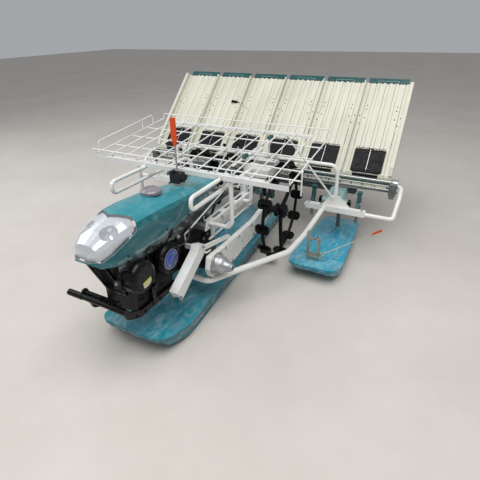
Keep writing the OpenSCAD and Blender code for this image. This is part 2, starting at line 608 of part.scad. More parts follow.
// marker pole with its flag on the front cross angle
pole = [12, -1000];
module centre_marker() {
    color("gray") {
        rod([pole[0], pole[1], 730], [pole[0], pole[1], 884], 9);
        bent_tube([[pole[0], pole[1], 760], [pole[0] - 22, pole[1], 752], [pole[0] - 16, pole[1], 770]], 5,
            sides = 8);
    }
    color("orangered") cross_plate([[pole[0] - 6, 884], [pole[0] - 18, 925], [pole[0] - 14, 1021],
        [pole[0] + 14, 1021], [pole[0] + 14, 925], [pole[0] + 6, 884]], pole[1] - 3, pole[1] + 3);
    color([0.08, 0.08, 0.08]) {
        block([-26, -1018, 694], [26, rack_front_y + 4, rack_front_z - 14 - gap]);
        block([-26, -1018, 716], [-8, -985, 756]);
        x_shaft(-40, 40, -985, 704, 18);
    }
}
marker_x = 638;
marker_y = -481;
tip = [880, -175, 196];
module row_marker_bracket(s) color("gray") mirrored(s) {
    difference() {
        cross_plate(loop_round([[541.4, 128], [541.4, 254], [624, 254], [624, 128]], 8), marker_y - 3,
            marker_y + 3);
        cross_plate(loop_round([[556, 150], [556, 238], [608, 238], [608, 150]], 8), marker_y - 4,
            marker_y + 4);
    }
    block([541.4, marker_y - 3, 246], [560, marker_y + 3, 288]);
    block([548, marker_y - 16, 120], [616, marker_y + 16, 132]);
    block([622, marker_y - 9, 134], [marker_x + 10, marker_y + 9, 139]);
    translate([marker_x, marker_y, 138]) cylinder(h = 28, d = 8);
}
module row_marker(s) mirrored(s) {
    color("gray") difference() {
        union() {
            translate([marker_x, marker_y, 139 + gap]) cylinder(h = 20, d = 20);
            rod([marker_x + 6, marker_y + 6, 152], tip, 7);
        }
        translate([marker_x, marker_y, 136]) cylinder(h = 32, d = 8 + 2 * shaft_gap);
    }
    color("orangered") rod(tip, tip + [37, 42, 8], 12);
}
// stepped cover of the feed drive on a post from the frame
module cover_box() color("white") {
    difference() {
        union() {
            block([96, -440, 560], [262, -330, 612]);
            block([136, -334, 574], [262, -280, 634]);
        }
        block([99, -437, 559], [259, -333, 609]);
        block([139, -340, 559], [259, -283, 631]);
    }
    block([112, member_ys[1] - 14, member_z1 + plate_top + 2 * gap], [136, member_ys[1] + 14, 584]);
    block([112, member_ys[1] + 13, 562], [136, -439, 584]);
}
handle_z = 776;
module handlebars() color("white") {
    both_sides() bent_tube([[120, cross_y + cross_s / 2, cross_z], [120, 240, cross_z], [180, 560, 745],
        [230, 610, handle_z], [230, 700, handle_z]], 28, 60);
    rod([-184, 566, 748], [184, 566, 748], 24);
    for (y = [330, 470]) let (z = cross_z + (y - 240) * 1.125, x = 117 + (y - 240) * 60 / 320)
        rod([-x, y, z], [x, y, z], 18);
}
module grips() color([0.1, 0.1, 0.1]) both_sides() rod([230, 700, handle_z], [230, y_grip_end, handle_z], 36);
// panel with its short levers
lever_xs = [-96, -32, 32, 96];
module control_panel() color([0.15, 0.15, 0.15]) {
    side_plate(loop_round([[540, 760 + gap], [540, 812], [562, 832], [622, 822], [622, 760 + gap]], 8), -150,
        150);
    for (x = lever_xs) {
        rod([x, 586, 820], [x, 598, 884], 8);
        translate([x, 598, 884]) sphere(d = 26);
    }
}
module tray_support() color("white") {
    both_sides() side_plate([[34, cross_z + cross_s / 2], [60, cross_z + cross_s / 2], [384, 850], [362,
        856]], 388, 412);
    on_tray() rod([-560, 500, -tray_floor - gap - 13], [560, 500, -tray_floor - gap - 13], 26);
}

// the tray's own frame: X across, Y up the slope, Z out of the carrying surface
module on_tray() { translate([0, 0, tray_z]) rotate([tray_tilt, 0, 0]) children(); }
// raised strips that run down each lane, and places round the lane's middle line
strip_xs = [-96, -32, 32, 96];
strip_w = 36;
strip_h = 3;
notch_xs = [-114, -96, -78, -38, 0, 38, 78, 96, 114];
holes = [[518, 98], [485, 98], [433, 132], [417, 98], [372, 122]];
slot_x = 118;
lane_top = [for (x = strip_xs) each [[x - strip_w / 2 - 4, 0], [x - strip_w / 2, strip_h], [x + strip_w / 2,
    strip_h],
    [x + strip_w / 2 + 4, 0]]];
module seedling_tray() color([0.93, 0.92, 0.85]) {
    side_plate([[-2, rail_top + gap], [10, rail_top + gap], [12, tray_z + 4], [7, tray_z + 4], [-2,
        tray_z - 6]],
        1 - tray_half, tray_half - 1);
    on_tray() difference() {
        translate([0, tray_len, 0]) rotate([90, 0, 0]) linear_extrude(height = tray_len) polygon(concat(
            [[-tray_half, -tray_floor], [-tray_half, 0]],
            [for (i = lanes, p = lane_top) [i * row_pitch + p[0], p[1]]],
            [[tray_half, 0], [tray_half, -tray_floor]]));
        for (i = lanes) translate([i * row_pitch, 0, -tray_floor - 1]) {
            for (x = notch_xs) translate([x, tray_len, 0]) cylinder(h = 12, d = 12);
            for (h = holes, s = [-1, 1]) translate([s * h[1], h[0], 0]) cylinder(h = 12, d = 7);
            for (s = [-1, 1]) block([s * slot_x - 2.5, 196, 0], [s * slot_x + 2.5, 322, 12]);
        }
    }
}
module tray_dividers() color([0.93, 0.92, 0.85]) on_tray() for (i = [-3 : 3]) {
    x0 = i == -3 ? -tray_half : i * row_pitch - 4;
    x1 = i == 3 ? tray_half : i * row_pitch + 4;
    side_plate([[0, gap], [tray_len, gap], [tray_len, rib_h - 8], [tray_len - 8, rib_h], [50, rib_h], [0,
        14]], x0, x1);
}
// a pair of feed belts to each lane over the strips, and a light bar between them
belt_w = 88;
belt_x = 54;
module feed_belts() color([0.08, 0.08, 0.08]) on_tray() for (i = lanes, s = [-1, 1])
    side_plate([[8, strip_h + gap], [176, strip_h + gap], [172, strip_h + 7], [164, strip_h + 9],
        [20, strip_h + 9], [12, strip_h + 7]],
        i * row_pitch + s * belt_x - belt_w / 2, i * row_pitch + s * belt_x + belt_w / 2);
// extension plates behind the tray's top edge, each with a raised handle shape
ext_w = 268;
module tray_extensions() color("teal") on_tray() for (i = lanes) translate([i * row_pitch, tray_len, 0]) {
    block([-ext_w / 2, -60, -tray_floor - gap - 4], [ext_w / 2, 46, -tray_floor - gap]);
    block([-70, 18, -tray_floor - gap - 1], [70, 23, -tray_floor + 2]);
    for (s = [-1, 1]) block([s * 67.5 - 2.5, 4, -tray_floor - gap - 1], [s * 67.5 + 2.5, 20,
        -tray_floor + 2]);
}

// wheel: rim ring, three curved forked spokes, and lugs with a pad and a pointed fin
pad_t = 7;
function spoke_edge(side) = [for (k = [0 : 4]) let (t = k / 4, r = 30 + t * (rim_r - 32),
    bend = 20 * sin(180 * t),
    w = side * (19 - 10 * sin(180 * t) + 16 * t * t)) [bend + w, r]];
spoke_pts = concat(spoke_edge(-1), [for (i = [4 : -1 : 0]) spoke_edge(1)[i]]);
hub_profile = [[0, -36], [30, -36], [44, -30], [44, -22], [34, -18], [34, 18], [44, 22], [44, 30], [28, 36],
    [20, 42],
    [0, 42]];
module wheel(s) color([0.07, 0.07, 0.07]) translate([s * wheel_x, wheel_y, wheel_r]) {
    rotate([0, 90, 0]) rotate_extrude($fn = 60) translate([rim_r, 0]) circle(d = rim_d, $fn = 12);
    mirrored(s) {
        x_turned(hub_profile, 0, 0, 0);
        x_shaft(case_x0 - wheel_x, 0, 0, 0, axle_d);
        x_shaft(case_x1 + 6 - wheel_x, -30, 0, 0, 46);
    }
    for (a = [70 : 120 : 310]) rotate([a, 0, 0]) difference() {
        side_plate(spoke_pts, -8, 8);
        side_plate([[16, rim_r - 96], [10, rim_r - 22], [-14, rim_r - 22]], -9, 9);
    }
    for (i = [0 : lug_n - 1]) rotate([i * 360 / lug_n, 0, 0]) {
        level_plate([[-lug_w / 2, -lug_l / 4], [-lug_w / 2, lug_l / 4], [-lug_w / 3, lug_l / 2], [lug_w / 3,
            lug_l / 2],
            [lug_w / 2, lug_l / 4], [lug_w / 2, -lug_l / 4], [lug_w / 3, -lug_l / 2], [-lug_w / 3,
                -lug_l / 2]],
            rim_r + 3, rim_r + 3 + pad_t);
        cross_plate([[-lug_w * 0.42, rim_r + 2 + pad_t], [lug_w * 0.42, rim_r + 2 + pad_t], [13, wheel_r],
            [-13, wheel_r]],
            -3, 3);
    }
}
module crank(x) color([0.08, 0.08, 0.08]) {
    x_shaft(x - 92, x + 92, crank_y, crank_z, 18);
    for (s = [-1, 1]) translate([x, 0, 0]) mirrored(s) {
        side_plate(loop_round([[crank_y - 18, crank_z + 26], [crank_y + 18, crank_z + 26], [crank_y + 14,
            crank_z - crank_r - 16], [crank_y - 14, crank_z - crank_r - 16]], 10), 88, 102);
        x_shaft(87, 106, crank_y, crank_z, 26);
        x_shaft(101, arm_x + arm_t / 2 + 2, crank_y, crank_z - crank_r, 14);
    }
}
// planting arms: a cast body with a round head, and a fork of two tines round a pusher rod
boss_d = 36;
head_d = 30;
arm_pts = loop_round([[-17, -14], [-18, 22], [-2, 48], [arm_lean - 22, arm_rise - 18], [arm_lean - 17,
    arm_rise + 15],
    [arm_lean + 12, arm_rise + 15], [arm_lean + 13, arm_rise - 20], [28, 40], [20, -6], [14, -18], [-12,
        -18]], 5, 2);
module arm_body() {
    side_plate(arm_pts, -arm_t / 2 + 4, arm_t / 2 - 4);
    x_shaft(-arm_t / 2, arm_t / 2, 0, 0, boss_d);
    x_shaft(-arm_t / 2 - 2, arm_t / 2 + 2, arm_lean - 2, arm_rise, head_d);
    side_plate([[4, 20], [14, 34], [arm_lean - 4, arm_rise - 30], [arm_lean - 10, arm_rise - 34]], -arm_t / 2,
        arm_t / 2);
    block([-9, -9, -44], [9, 5, -12]);
    for (x = [-7, 7]) side_plate([[-7, -42], [1, -42], [-6, -86], [-10, -94], [-12, -86]], x - 1.5, x + 1.5);
    rod([0, -3, -40], [0, -8, -78], 5);
}
module arms(x) color([0.02, 0.35, 0.35]) for (s = [-1, 1])
    translate([x + s * arm_x, crank_y, crank_z - crank_r]) difference() {
        arm_body();
        x_shaft(-arm_t / 2 - 4, arm_t / 2 + 4, 0, 0, 14 + 2 * shaft_gap);
    }

at_origin() main_frame();
at_origin() frame_plates();
at_origin() engine_base();
at_origin() bumper();
at_origin() engine_block();
at_origin() muffler_cover();
at_origin() recoil_starter();
at_origin() front_grille();
at_origin() hood();
at_origin() headlight_lens();
at_origin() headlight_reflector();
at_origin() tank_cap();
at_origin() transmission();
at_origin() wheel_arm(1);  // wheel_arm_left
at_origin() wheel_arm(-1);  // wheel_arm_right
at_origin() pivot_cones();
at_origin() lift_channels();
at_origin() lift_links();
at_origin() centre_float();
at_origin() side_float(1);  // side_float_left
at_origin() side_float(-1);  // side_float_right
at_origin() float_brackets();
at_origin() side_beam(1);  // side_beam_left
at_origin() side_beam(-1);  // side_beam_right
at_origin() side_tubes();
at_origin() arch_tube();
at_origin() cross_tube();
at_origin() guide_rail();
at_origin() rail_gates();
at_origin() planting_cases();
at_origin() spare_rack();
at_origin() rack_rails();
at_origin() rack_support();
at_origin() centre_marker();
at_origin() row_marker(1);  // row_marker_left
at_origin() row_marker(-1);  // row_marker_right
at_origin() cover_box();
at_origin() handlebars();
at_origin() grips();
at_origin() control_panel();
at_origin() tray_support();
at_origin() seedling_tray();
at_origin() tray_dividers();
at_origin() feed_belts();
at_origin() tray_extensions();
at_origin() wheel(1);  // wheel_left
at_origin() wheel(-1);  // wheel_right
at_origin() crank(2 * row_pitch);  // crank_left
at_origin() crank(0);  // crank_centre
at_origin() crank(-2 * row_pitch);  // crank_right
at_origin() arms(2 * row_pitch);  // arms_left
at_origin() arms(0);  // arms_centre
at_origin() arms(-2 * row_pitch);  // arms_right
at_origin() row_marker_bracket(1);  // marker_bracket_left
at_origin() row_marker_bracket(-1);  // marker_bracket_right
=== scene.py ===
import bpy, bmesh, json, math
from mathutils import Matrix, Vector, noise


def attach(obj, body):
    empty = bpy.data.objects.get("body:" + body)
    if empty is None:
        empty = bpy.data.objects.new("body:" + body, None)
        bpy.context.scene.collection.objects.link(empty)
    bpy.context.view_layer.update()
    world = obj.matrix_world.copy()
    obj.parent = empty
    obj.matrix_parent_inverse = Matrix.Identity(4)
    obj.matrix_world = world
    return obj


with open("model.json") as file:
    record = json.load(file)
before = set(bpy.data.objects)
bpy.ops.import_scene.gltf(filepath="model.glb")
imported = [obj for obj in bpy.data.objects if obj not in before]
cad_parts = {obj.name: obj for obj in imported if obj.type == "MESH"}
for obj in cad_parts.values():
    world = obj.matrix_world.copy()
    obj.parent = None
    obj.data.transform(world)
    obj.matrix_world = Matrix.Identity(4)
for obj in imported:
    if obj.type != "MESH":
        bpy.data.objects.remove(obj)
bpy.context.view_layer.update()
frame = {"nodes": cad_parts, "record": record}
nodes = frame["nodes"]

# ---------------------------------------------------------------- the machine's layout, in its millimetres
# x runs to the machine's left, y to its rear, z up; the frame's middle lies FRAME_Y behind the machine's zero
FRAME_Y = 455
X, Y, Z = Vector((1, 0, 0)), Vector((0, 1, 0)), Vector((0, 0, 1))
SIDES = (("left", 1), ("right", -1))
UNITS = (("left", 600), ("centre", 0), ("right", -600))
ROW_PITCH = 300
LANE_XS = [(lane - 2.5) * ROW_PITCH for lane in range(6)]
TRAY_FRONT_Z = 523
TRAY_TILT = math.radians(44.2)
TRAY_LENGTH = 708
TRAY_FLOOR = 5
STRIP_HEIGHT = 3
ALONG = Vector((0, math.cos(TRAY_TILT), math.sin(TRAY_TILT)))
OUT = Vector((0, -math.sin(TRAY_TILT), math.cos(TRAY_TILT)))
NOTCH_XS = (-114, -96, -78, -38, 0, 38, 78, 96, 114)
# holes of a lane: place up the slope, distance from the lane's middle, height of the surface round it
HOLES = ((518, 98, STRIP_HEIGHT), (485, 98, STRIP_HEIGHT), (433, 132, 0), (417, 98, STRIP_HEIGHT),
         (372, 122, 0))
BELT_X = 54
WHEEL_Y, WHEEL_Z = -358, 326
ARCH_Y, ARCH_Z = -154, 604
SHAFT_Y, SHAFT_Z = -70, 522
STARTER_Y, STARTER_Z = -1284, 440
FIN_Y = -1377


def at(x, y, z):
    """machine millimetres to a point of the frame in metres"""
    return Vector((x / 1000, (y + FRAME_Y) / 1000, z / 1000))


def on_tray(x, y, h):
    """point of the frame that lies y up the tray's slope and h off its carrying surface"""
    return at(x, 0, TRAY_FRONT_Z) + ALONG * (y / 1000) + OUT * (h / 1000)


# ---------------------------------------------------------------- camera, fitted to the photograph
PICTURE_PX, FOCAL_PX, SENSOR_MM = 480, 393.25, 36.0
SHIFT_PX = (1.0, -26.0)
CAMERA_AT = (1.1538, -2.0436, 1.4118)
azimuth, elevation, roll = math.radians(28.05), math.radians(25.835), math.radians(1.231)

cam_data = bpy.data.cameras.new("camera")
cam_data.sensor_width = SENSOR_MM
cam_data.lens = FOCAL_PX / PICTURE_PX * SENSOR_MM
cam_data.shift_x, cam_data.shift_y = (s / PICTURE_PX for s in SHIFT_PX)
cam_data.clip_end = 50
forward = Vector((-math.sin(azimuth) * math.cos(elevation), math.cos(azimuth) * math.cos(elevation),
                  -math.sin(elevation)))
level = Vector((math.cos(azimuth), math.sin(azimuth), 0))
down = forward.cross(level)
right = math.cos(roll) * level + math.sin(roll) * down
up = math.sin(roll) * level - math.cos(roll) * down
camera = bpy.data.objects.new("camera", cam_data)
rows = [(right[i], up[i], -forward[i], CAMERA_AT[i]) for i in range(3)]
camera.matrix_world = Matrix(rows + [(0, 0, 0, 1)])
bpy.context.scene.collection.objects.link(camera)
bpy.context.scene.camera = camera
bpy.context.scene.view_settings.view_transform = "Standard"


# ---------------------------------------------------------------- materials
class Nodes:
    """short calls for a material's node tree"""
    def __init__(self, mat):
        mat.use_nodes = True
        self.tree = mat.node_tree
        self.shader = self.tree.nodes["Principled BSDF"]
        self.place = self.node("TexCoord").outputs["Object"]
        self.geometry = self.node("NewGeometry")
        split = self.node("SeparateXYZ")
        self.join(self.place, split.inputs[0])
        self.xyz = split.outputs

    def node(self, kind):
        return self.tree.nodes.new("ShaderNode" + kind)

    def join(self, source, socket):
        self.tree.links.new(source, socket)

    def put(self, socket, value):
        if isinstance(value, bpy.types.NodeSocket):
            self.join(value, socket)
        elif value is not None:
            socket.default_value = value

    def set(self, **sockets):
        """values or links for the shader's sockets, named with underscores"""
        for name, value in sockets.items():
            title = name.replace("_", " ").title().replace("Ior", "IOR")
            self.put(self.shader.inputs[title], value)

    def math(self, operation, a, b=None):
        n = self.node("Math")
        n.operation = operation
        self.put(n.inputs[0], a)
        self.put(n.inputs[1], b)
        return n.outputs[0]

    def times(self, a, b):
        return self.math("MULTIPLY", a, b)

    def source(self, stretch):
        """object coordinates, or the same scaled along each axis"""
        if not stretch:
            return self.place
        n = self.node("Mapping")
        n.vector_type = "POINT"
        self.join(self.place, n.inputs[0])
        n.inputs["Scale"].default_value = stretch
        return n.outputs[0]

    def noise(self, scale, detail=3.0, rough=0.55, stretch=None, distort=0.0):
        n = self.node("TexNoise")
        self.join(self.source(stretch), n.inputs["Vector"])
        n.inputs["Scale"].default_value = scale
        n.inputs["Detail"].default_value = detail
        n.inputs["Roughness"].default_value = rough
        n.inputs["Distortion"].default_value = distort
        return n.outputs["Fac"]

    def cells(self, scale, stretch=None):
        n = self.node("TexVoronoi")
        n.feature = "DISTANCE_TO_EDGE"
        self.join(self.source(stretch), n.inputs["Vector"])
        n.inputs["Scale"].default_value = scale
        return n.outputs["Distance"]

    def remap(self, value, low, high, to_low=0.0, to_high=1.0):
        n = self.node("MapRange")
        n.clamp = True
        self.put(n.inputs[0], value)
        for i, number in enumerate((low, high, to_low, to_high)):
            n.inputs[i + 1].default_value = number
        return n.outputs[0]

    def mix(self, factor, a, b):
        n = self.node("Mix")
        n.data_type = "RGBA"
        self.put(n.inputs[0], factor)
        for slot, colour in ((6, a), (7, b)):
            self.put(n.inputs[slot], colour if isinstance(colour, bpy.types.NodeSocket) else (*colour[:3], 1))
        return n.outputs[2]

    def bump(self, height, strength, distance=0.001):
        n = self.node("Bump")
        n.inputs["Strength"].default_value = strength
        n.inputs["Distance"].default_value = distance
        self.put(n.inputs["Height"], height)
        return n.outputs[0]

    def edges(self, radius):
        """1 at sharp edges: where the rounded normal leaves the true one"""
        bevel, dot = self.node("Bevel"), self.node("VectorMath")
        bevel.samples = 4
        bevel.inputs[0].default_value = radius
        dot.operation = "DOT_PRODUCT"
        self.join(bevel.outputs[0], dot.inputs[0])
        self.join(self.geometry.outputs["True Normal"], dot.inputs[1])
        return self.remap(dot.outputs["Value"], 0.985, 0.80)

    def up(self):
        split = self.node("SeparateXYZ")
        self.join(self.geometry.outputs["Normal"], split.inputs[0])
        return split.outputs[2]


def shade(colour, share):
    return [min(1, c * share) for c in colour]


def finish(name, colour, rough=0.45, metal=0.0, spread=0.12, patch=5.0, grain=220.0, bump=0.12, dust=0.0,
           edge=None, coat=0.0, streak=None, zones=(), dust_colour=(0.30, 0.26, 0.20), spec=0.5):
    """a worn paint, plastic or metal: tone patches, fine grain, dust that settles on top, bare edges, zones

    edge is (colour, radius, amount) and streak (colour, scale, stretch, amount). A zone is (axis, low, high,
    colour) in metres of the frame, where the axis |x takes both sides."""
    m = bpy.data.materials.new(name)
    n = Nodes(m)
    tone = n.noise(patch, 4.0, 0.6)
    patches = n.remap(tone, 0.3, 0.7)
    col = n.mix(patches, shade(colour, 1 - spread), shade(colour, 1 + spread))
    for axis, low, high, zone_colour in zones:
        v = n.xyz["XYZ".index(axis[-1].upper())]
        if axis[0] == "|":
            v = n.math("ABSOLUTE", v)
        inside = n.times(n.math("GREATER_THAN", v, low), n.math("LESS_THAN", v, high))
        col = n.mix(inside, col, n.mix(patches, shade(zone_colour, 0.9), shade(zone_colour, 1.1)))
    if edge:
        edge_colour, radius, amount = edge
        worn = n.times(n.edges(radius), n.remap(n.noise(60, 3), 0.42, 0.6))
        col = n.mix(n.times(worn, amount), col, edge_colour)
    if streak:
        streak_colour, scale, stretch, amount = streak
        runs = n.remap(n.noise(scale, 4, 0.6, stretch=stretch), 0.52, 0.72)
        col = n.mix(n.times(runs, amount), col, streak_colour)
    if dust:
        settled = n.times(n.remap(n.up(), 0.1, 1.0), n.remap(n.noise(9, 5, 0.65), 0.38, 0.7))
        col = n.mix(n.times(settled, dust), col, dust_colour)
    polish = n.remap(n.noise(38, 4, 0.6), 0.3, 0.7, max(0.03, rough - 0.12), min(1, rough + 0.12))
    n.set(base_color=col, roughness=polish, metallic=metal, coat_weight=coat, coat_roughness=0.08,
          specular_ior_level=spec, normal=n.bump(n.noise(grain, 3, 0.6), bump, 0.0006))
    M[name] = m
    return n


def wrapped(name, colour, top, light, rough, amount, stretch=(1.0, 0.45, 1.0), upper=(0.45, 0.75)):
    """painted sheet under clinging clear film, which lies loose in patches: painted white highlights on the
    folds and painted sheen on the loose patches; faces that look up take a lighter colour, painted light from
    above
    """
    m = bpy.data.materials.new(name)
    n = Nodes(m)
    base = n.mix(n.remap(n.noise(4, 3), 0.3, 0.7), colour, shade(colour, 1.15))
    # faces that look up mix towards the lighter top colour: painted light from above
    lit_top_share = n.remap(n.up(), *upper)
    base = n.mix(lit_top_share, base, n.mix(n.remap(n.noise(6, 4), 0.3, 0.7), top, shade(top, 1.18)))
    folds = n.cells(9, stretch=stretch)
    fine = n.noise(26, 6, 0.7, stretch=stretch, distort=1.8)
    # white from the light colour on the folds and the loose patches: painted highlight and sheen of the film
    lines = n.times(n.remap(folds, 0.09, 0.0), n.remap(fine, 0.4, 0.62))
    veil = n.remap(n.noise(7, 5, 0.65, stretch=stretch, distort=2.2), 0.46, 0.78)
    film_sheen_share = n.times(n.math("MAXIMUM", lines, n.times(veil, 0.75)), amount)
    crease = n.bump(n.math("ADD", n.times(n.remap(folds, 0.0, 0.16), 0.9), fine), 0.55, 0.004)
    n.set(base_color=n.mix(film_sheen_share, base, light),
          roughness=n.remap(fine, 0.3, 0.7, rough * 0.5, rough * 1.5),
          coat_weight=0.35, coat_roughness=0.1, specular_ior_level=0.3, normal=crease, coat_normal=crease)
    M[name] = m


M = {}
ORANGE = (0.86, 0.10, 0.012)
finish("white_tube", (0.78, 0.78, 0.75), 0.32, spread=0.05, grain=160, bump=0.08, dust=0.25, coat=0.3,
       edge=((0.45, 0.40, 0.33), 0.002, 0.35), streak=((0.60, 0.57, 0.50), 14, (1, 1, 1), 0.35))
finish("white_sheet", (0.74, 0.75, 0.74), 0.38, spread=0.06, grain=120, bump=0.1, dust=0.35, coat=0.15,
       edge=((0.40, 0.36, 0.30), 0.003, 0.5), streak=((0.50, 0.48, 0.43), 9, (1, 0.5, 1), 0.4))
finish("grey_steel", (0.13, 0.14, 0.145), 0.5, metal=0.25, spread=0.3, patch=14, grain=300, bump=0.25,
       dust=0.3, edge=((0.34, 0.34, 0.33), 0.002, 0.7))
finish("engine_grey", (0.009, 0.0095, 0.0105), 0.4, metal=0.2, spread=0.5, patch=22, grain=260, bump=0.3,
       dust=0.02, spec=0.16, edge=((0.26, 0.26, 0.25), 0.002, 0.6))
finish("black_steel", (0.0022, 0.0025, 0.0032), 0.26, spread=0.25, grain=260, dust=0.008, coat=0.12,
       spec=0.18, edge=((0.14, 0.14, 0.14), 0.0016, 0.45))
finish("black_plastic", (0.0022, 0.0024, 0.003), 0.3, spread=0.2, grain=420, dust=0.008, spec=0.14,
       edge=((0.07, 0.07, 0.075), 0.0013, 0.35))
finish("grip_rubber", (0.006, 0.006, 0.007), 0.6, spread=0.2, grain=300, bump=0.4, dust=0.03, spec=0.3)
finish("teal_metal", (0.002, 0.066, 0.068), 0.32, spread=0.22, grain=200, dust=0.04, coat=0.35,
       edge=((0.20, 0.26, 0.25), 0.0018, 0.5))
finish("pale_case", (0.24, 0.39, 0.38), 0.4, metal=0.15, spread=0.2, patch=12, grain=180, bump=0.25, dust=0.2,
       edge=((0.5, 0.52, 0.5), 0.002, 0.6))
finish("rail_aluminium", (0.50, 0.51, 0.50), 0.36, metal=0.75, grain=90, dust=0.2,
       streak=((0.25, 0.25, 0.24), 40, (0.05, 1, 1), 0.4), zones=[("|x", 1.052, 2.0, (0.09, 0.09, 0.09))])
finish("cast_aluminium", (0.42, 0.43, 0.44), 0.42, metal=0.8, spread=0.25, patch=16, grain=420, bump=0.45,
       dust=0.15, edge=((0.75, 0.75, 0.74), 0.002, 0.6))
finish("gate_plastic", (0.70, 0.68, 0.56), 0.5, patch=20, grain=200, bump=0.15, dust=0.3)
finish("cap_plastic", (0.20, 0.185, 0.21), 0.3, spread=0.2, patch=18, grain=120, bump=0.2, coat=0.5)
finish("marker_steel", (0.33, 0.33, 0.27), 0.42, metal=0.5, spread=0.2, patch=12, grain=260, bump=0.2,
       dust=0.2, edge=((0.55, 0.53, 0.42), 0.002, 0.5))
finish("marker_rod", (0.50, 0.53, 0.44), 0.35, metal=0.55, grain=200, bump=0.1,
       zones=[("|x", 0.868, 2.0, ORANGE)])
finish("marker_pole", (0.30, 0.31, 0.32), 0.4, metal=0.3, spread=0.15, grain=200,
       zones=[("z", 0.883, 2.0, (0.80, 0.085, 0.01)), ("z", 0.0, 0.757, (0.016, 0.016, 0.018))])
finish("wheel_rubber", (0.003, 0.003, 0.0034), 0.44, spread=0.35, patch=9, grain=320, bump=0.3, dust=0.02,
       spec=0.15, edge=((0.09, 0.09, 0.085), 0.0018, 0.35), dust_colour=(0.14, 0.12, 0.10))
finish("bolt_zinc", (0.42, 0.42, 0.40), 0.32, metal=0.9, spread=0.25, patch=60, grain=500, bump=0.2)
finish("bolt_black", (0.03, 0.03, 0.032), 0.35, metal=0.6, spread=0.3, patch=60, grain=500, bump=0.2)
finish("hose_rubber", (0.012, 0.012, 0.013), 0.5, spread=0.2, grain=500, bump=0.25, dust=0.1)
finish("label_yellow", (0.56, 0.55, 0.10), 0.35, spread=0.08, grain=300, bump=0.05, coat=0.3)
finish("label_pale", (0.55, 0.54, 0.46), 0.35, spread=0.08, grain=300, bump=0.05, coat=0.3)
finish("disc_blue", (0.018, 0.06, 0.33), 0.3, spread=0.1, grain=300, bump=0.05, coat=0.5)
finish("disc_ring", (0.40, 0.42, 0.46), 0.3, metal=0.5, spread=0.1, grain=300, bump=0.05)
finish("strip_green", (0.012, 0.055, 0.045), 0.35, spread=0.2, grain=200, bump=0.1, coat=0.3,
       streak=((0.16, 0.24, 0.21), 260, (0.35, 1.0, 0.35), 0.5))
finish("belt_rubber", (0.003, 0.003, 0.005), 0.5, spread=0.3, grain=300, bump=0.2, spec=0.22)
finish("reflector", (0.62, 0.64, 0.67), 0.2, metal=0.45, spread=0.06, grain=60, bump=0.06)

FLOAT_FILM = {"stretch": (1.0, 0.22, 1.0), "upper": (0.5, 0.9)}
# hood and float finishes: paint colour, lighter top colour (painted light from above), painted highlight
# colour of the film, roughness, film amount
wrapped("teal_hood", (0.0003, 0.105, 0.125), (0.026, 0.215, 0.255), (0.34, 0.56, 0.58), 0.2, 0.28)
wrapped("teal_float", (0.001, 0.185, 0.27), (0.003, 0.30, 0.44), (0.36, 0.72, 0.82), 0.28, 0.5, **FLOAT_FILM)
# darker copy of the float finish for the centre float: mostly painted shade of its place under the engine,
# partly dirt
wrapped("teal_float_shaded", (0.0006, 0.10, 0.135), (0.0015, 0.215, 0.285), (0.30, 0.62, 0.70), 0.22, 0.42,
        **FLOAT_FILM)


def tray_material():
    """cream moulding with faint runs down each lane, and dark lines in the grooves beside its raised strips:
    painted shade of the grooves with some grime
    """
    n = finish("cream_tray", (0.60, 0.59, 0.49), 0.42, spread=0.08, patch=3, grain=160, bump=0.1,
               streak=((0.50, 0.48, 0.37), 26, (1.0, 0.07, 0.07), 0.5),
               edge=((0.36, 0.34, 0.27), 0.003, 0.35))
    x, y = n.xyz[0], n.xyz[1]
    in_lane = n.math("SUBTRACT", n.math("MODULO", n.math("ADD", x, 3.0), 0.3), 0.15)
    in_strip = n.math("SUBTRACT", n.math("MODULO", n.math("ADD", in_lane, 0.128), 0.064), 0.032)
    off_middle = n.math("ABSOLUTE", in_strip)
    # dark lines along both sides of each raised strip: painted shade of the grooves, with some grime
    line = n.times(n.remap(off_middle, 0.0175, 0.0195), n.remap(off_middle, 0.0245, 0.0225))
    line = n.times(line, n.math("LESS_THAN", n.math("ABSOLUTE", in_lane), 0.122))
    line = n.times(line, n.remap(n.noise(8, 4, 0.6, stretch=(3, 0.6, 0.6)), 0.25, 0.65, 0.15, 0.75))
    line = n.times(line, n.remap(y, 0.40, 0.47))
    plain = n.shader.inputs["Base Color"].links[0].from_socket
    # the lines' colour: painted groove shade and grime
    n.set(base_color=n.mix(line, plain, (0.30, 0.29, 0.23)))


def lens_material():
    """thin clear cover with long folds of film over it"""
    M["clear_lens"] = m = bpy.data.materials.new("clear_lens")
    n = Nodes(m)
    veil = n.remap(n.noise(7, 2, 0.5, stretch=(1, 0.35, 1), distort=0.8), 0.45, 0.8, 0.0, 0.55)
    folds = n.bump(n.noise(16, 3, 0.6, distort=1.0), 0.22, 0.002)
    n.set(base_color=(0.86, 0.88, 0.90, 1), roughness=0.12, ior=1.42,
          alpha=n.remap(veil, 0.0, 0.55, 0.08, 0.28), normal=folds)


def film_material():
    """loose clear film that shows at its creases"""
    M["loose_film"] = m = bpy.data.materials.new("loose_film")
    n = Nodes(m)
    creases = n.noise(17, 4, 0.6, stretch=(1, 0.5, 1), distort=1.8)
    n.set(base_color=(0.80, 0.90, 0.92, 1), roughness=0.14, alpha=n.remap(creases, 0.45, 0.80, 0.02, 0.34),
          normal=n.bump(creases, 0.45, 0.003))


tray_material()
lens_material()
film_material()

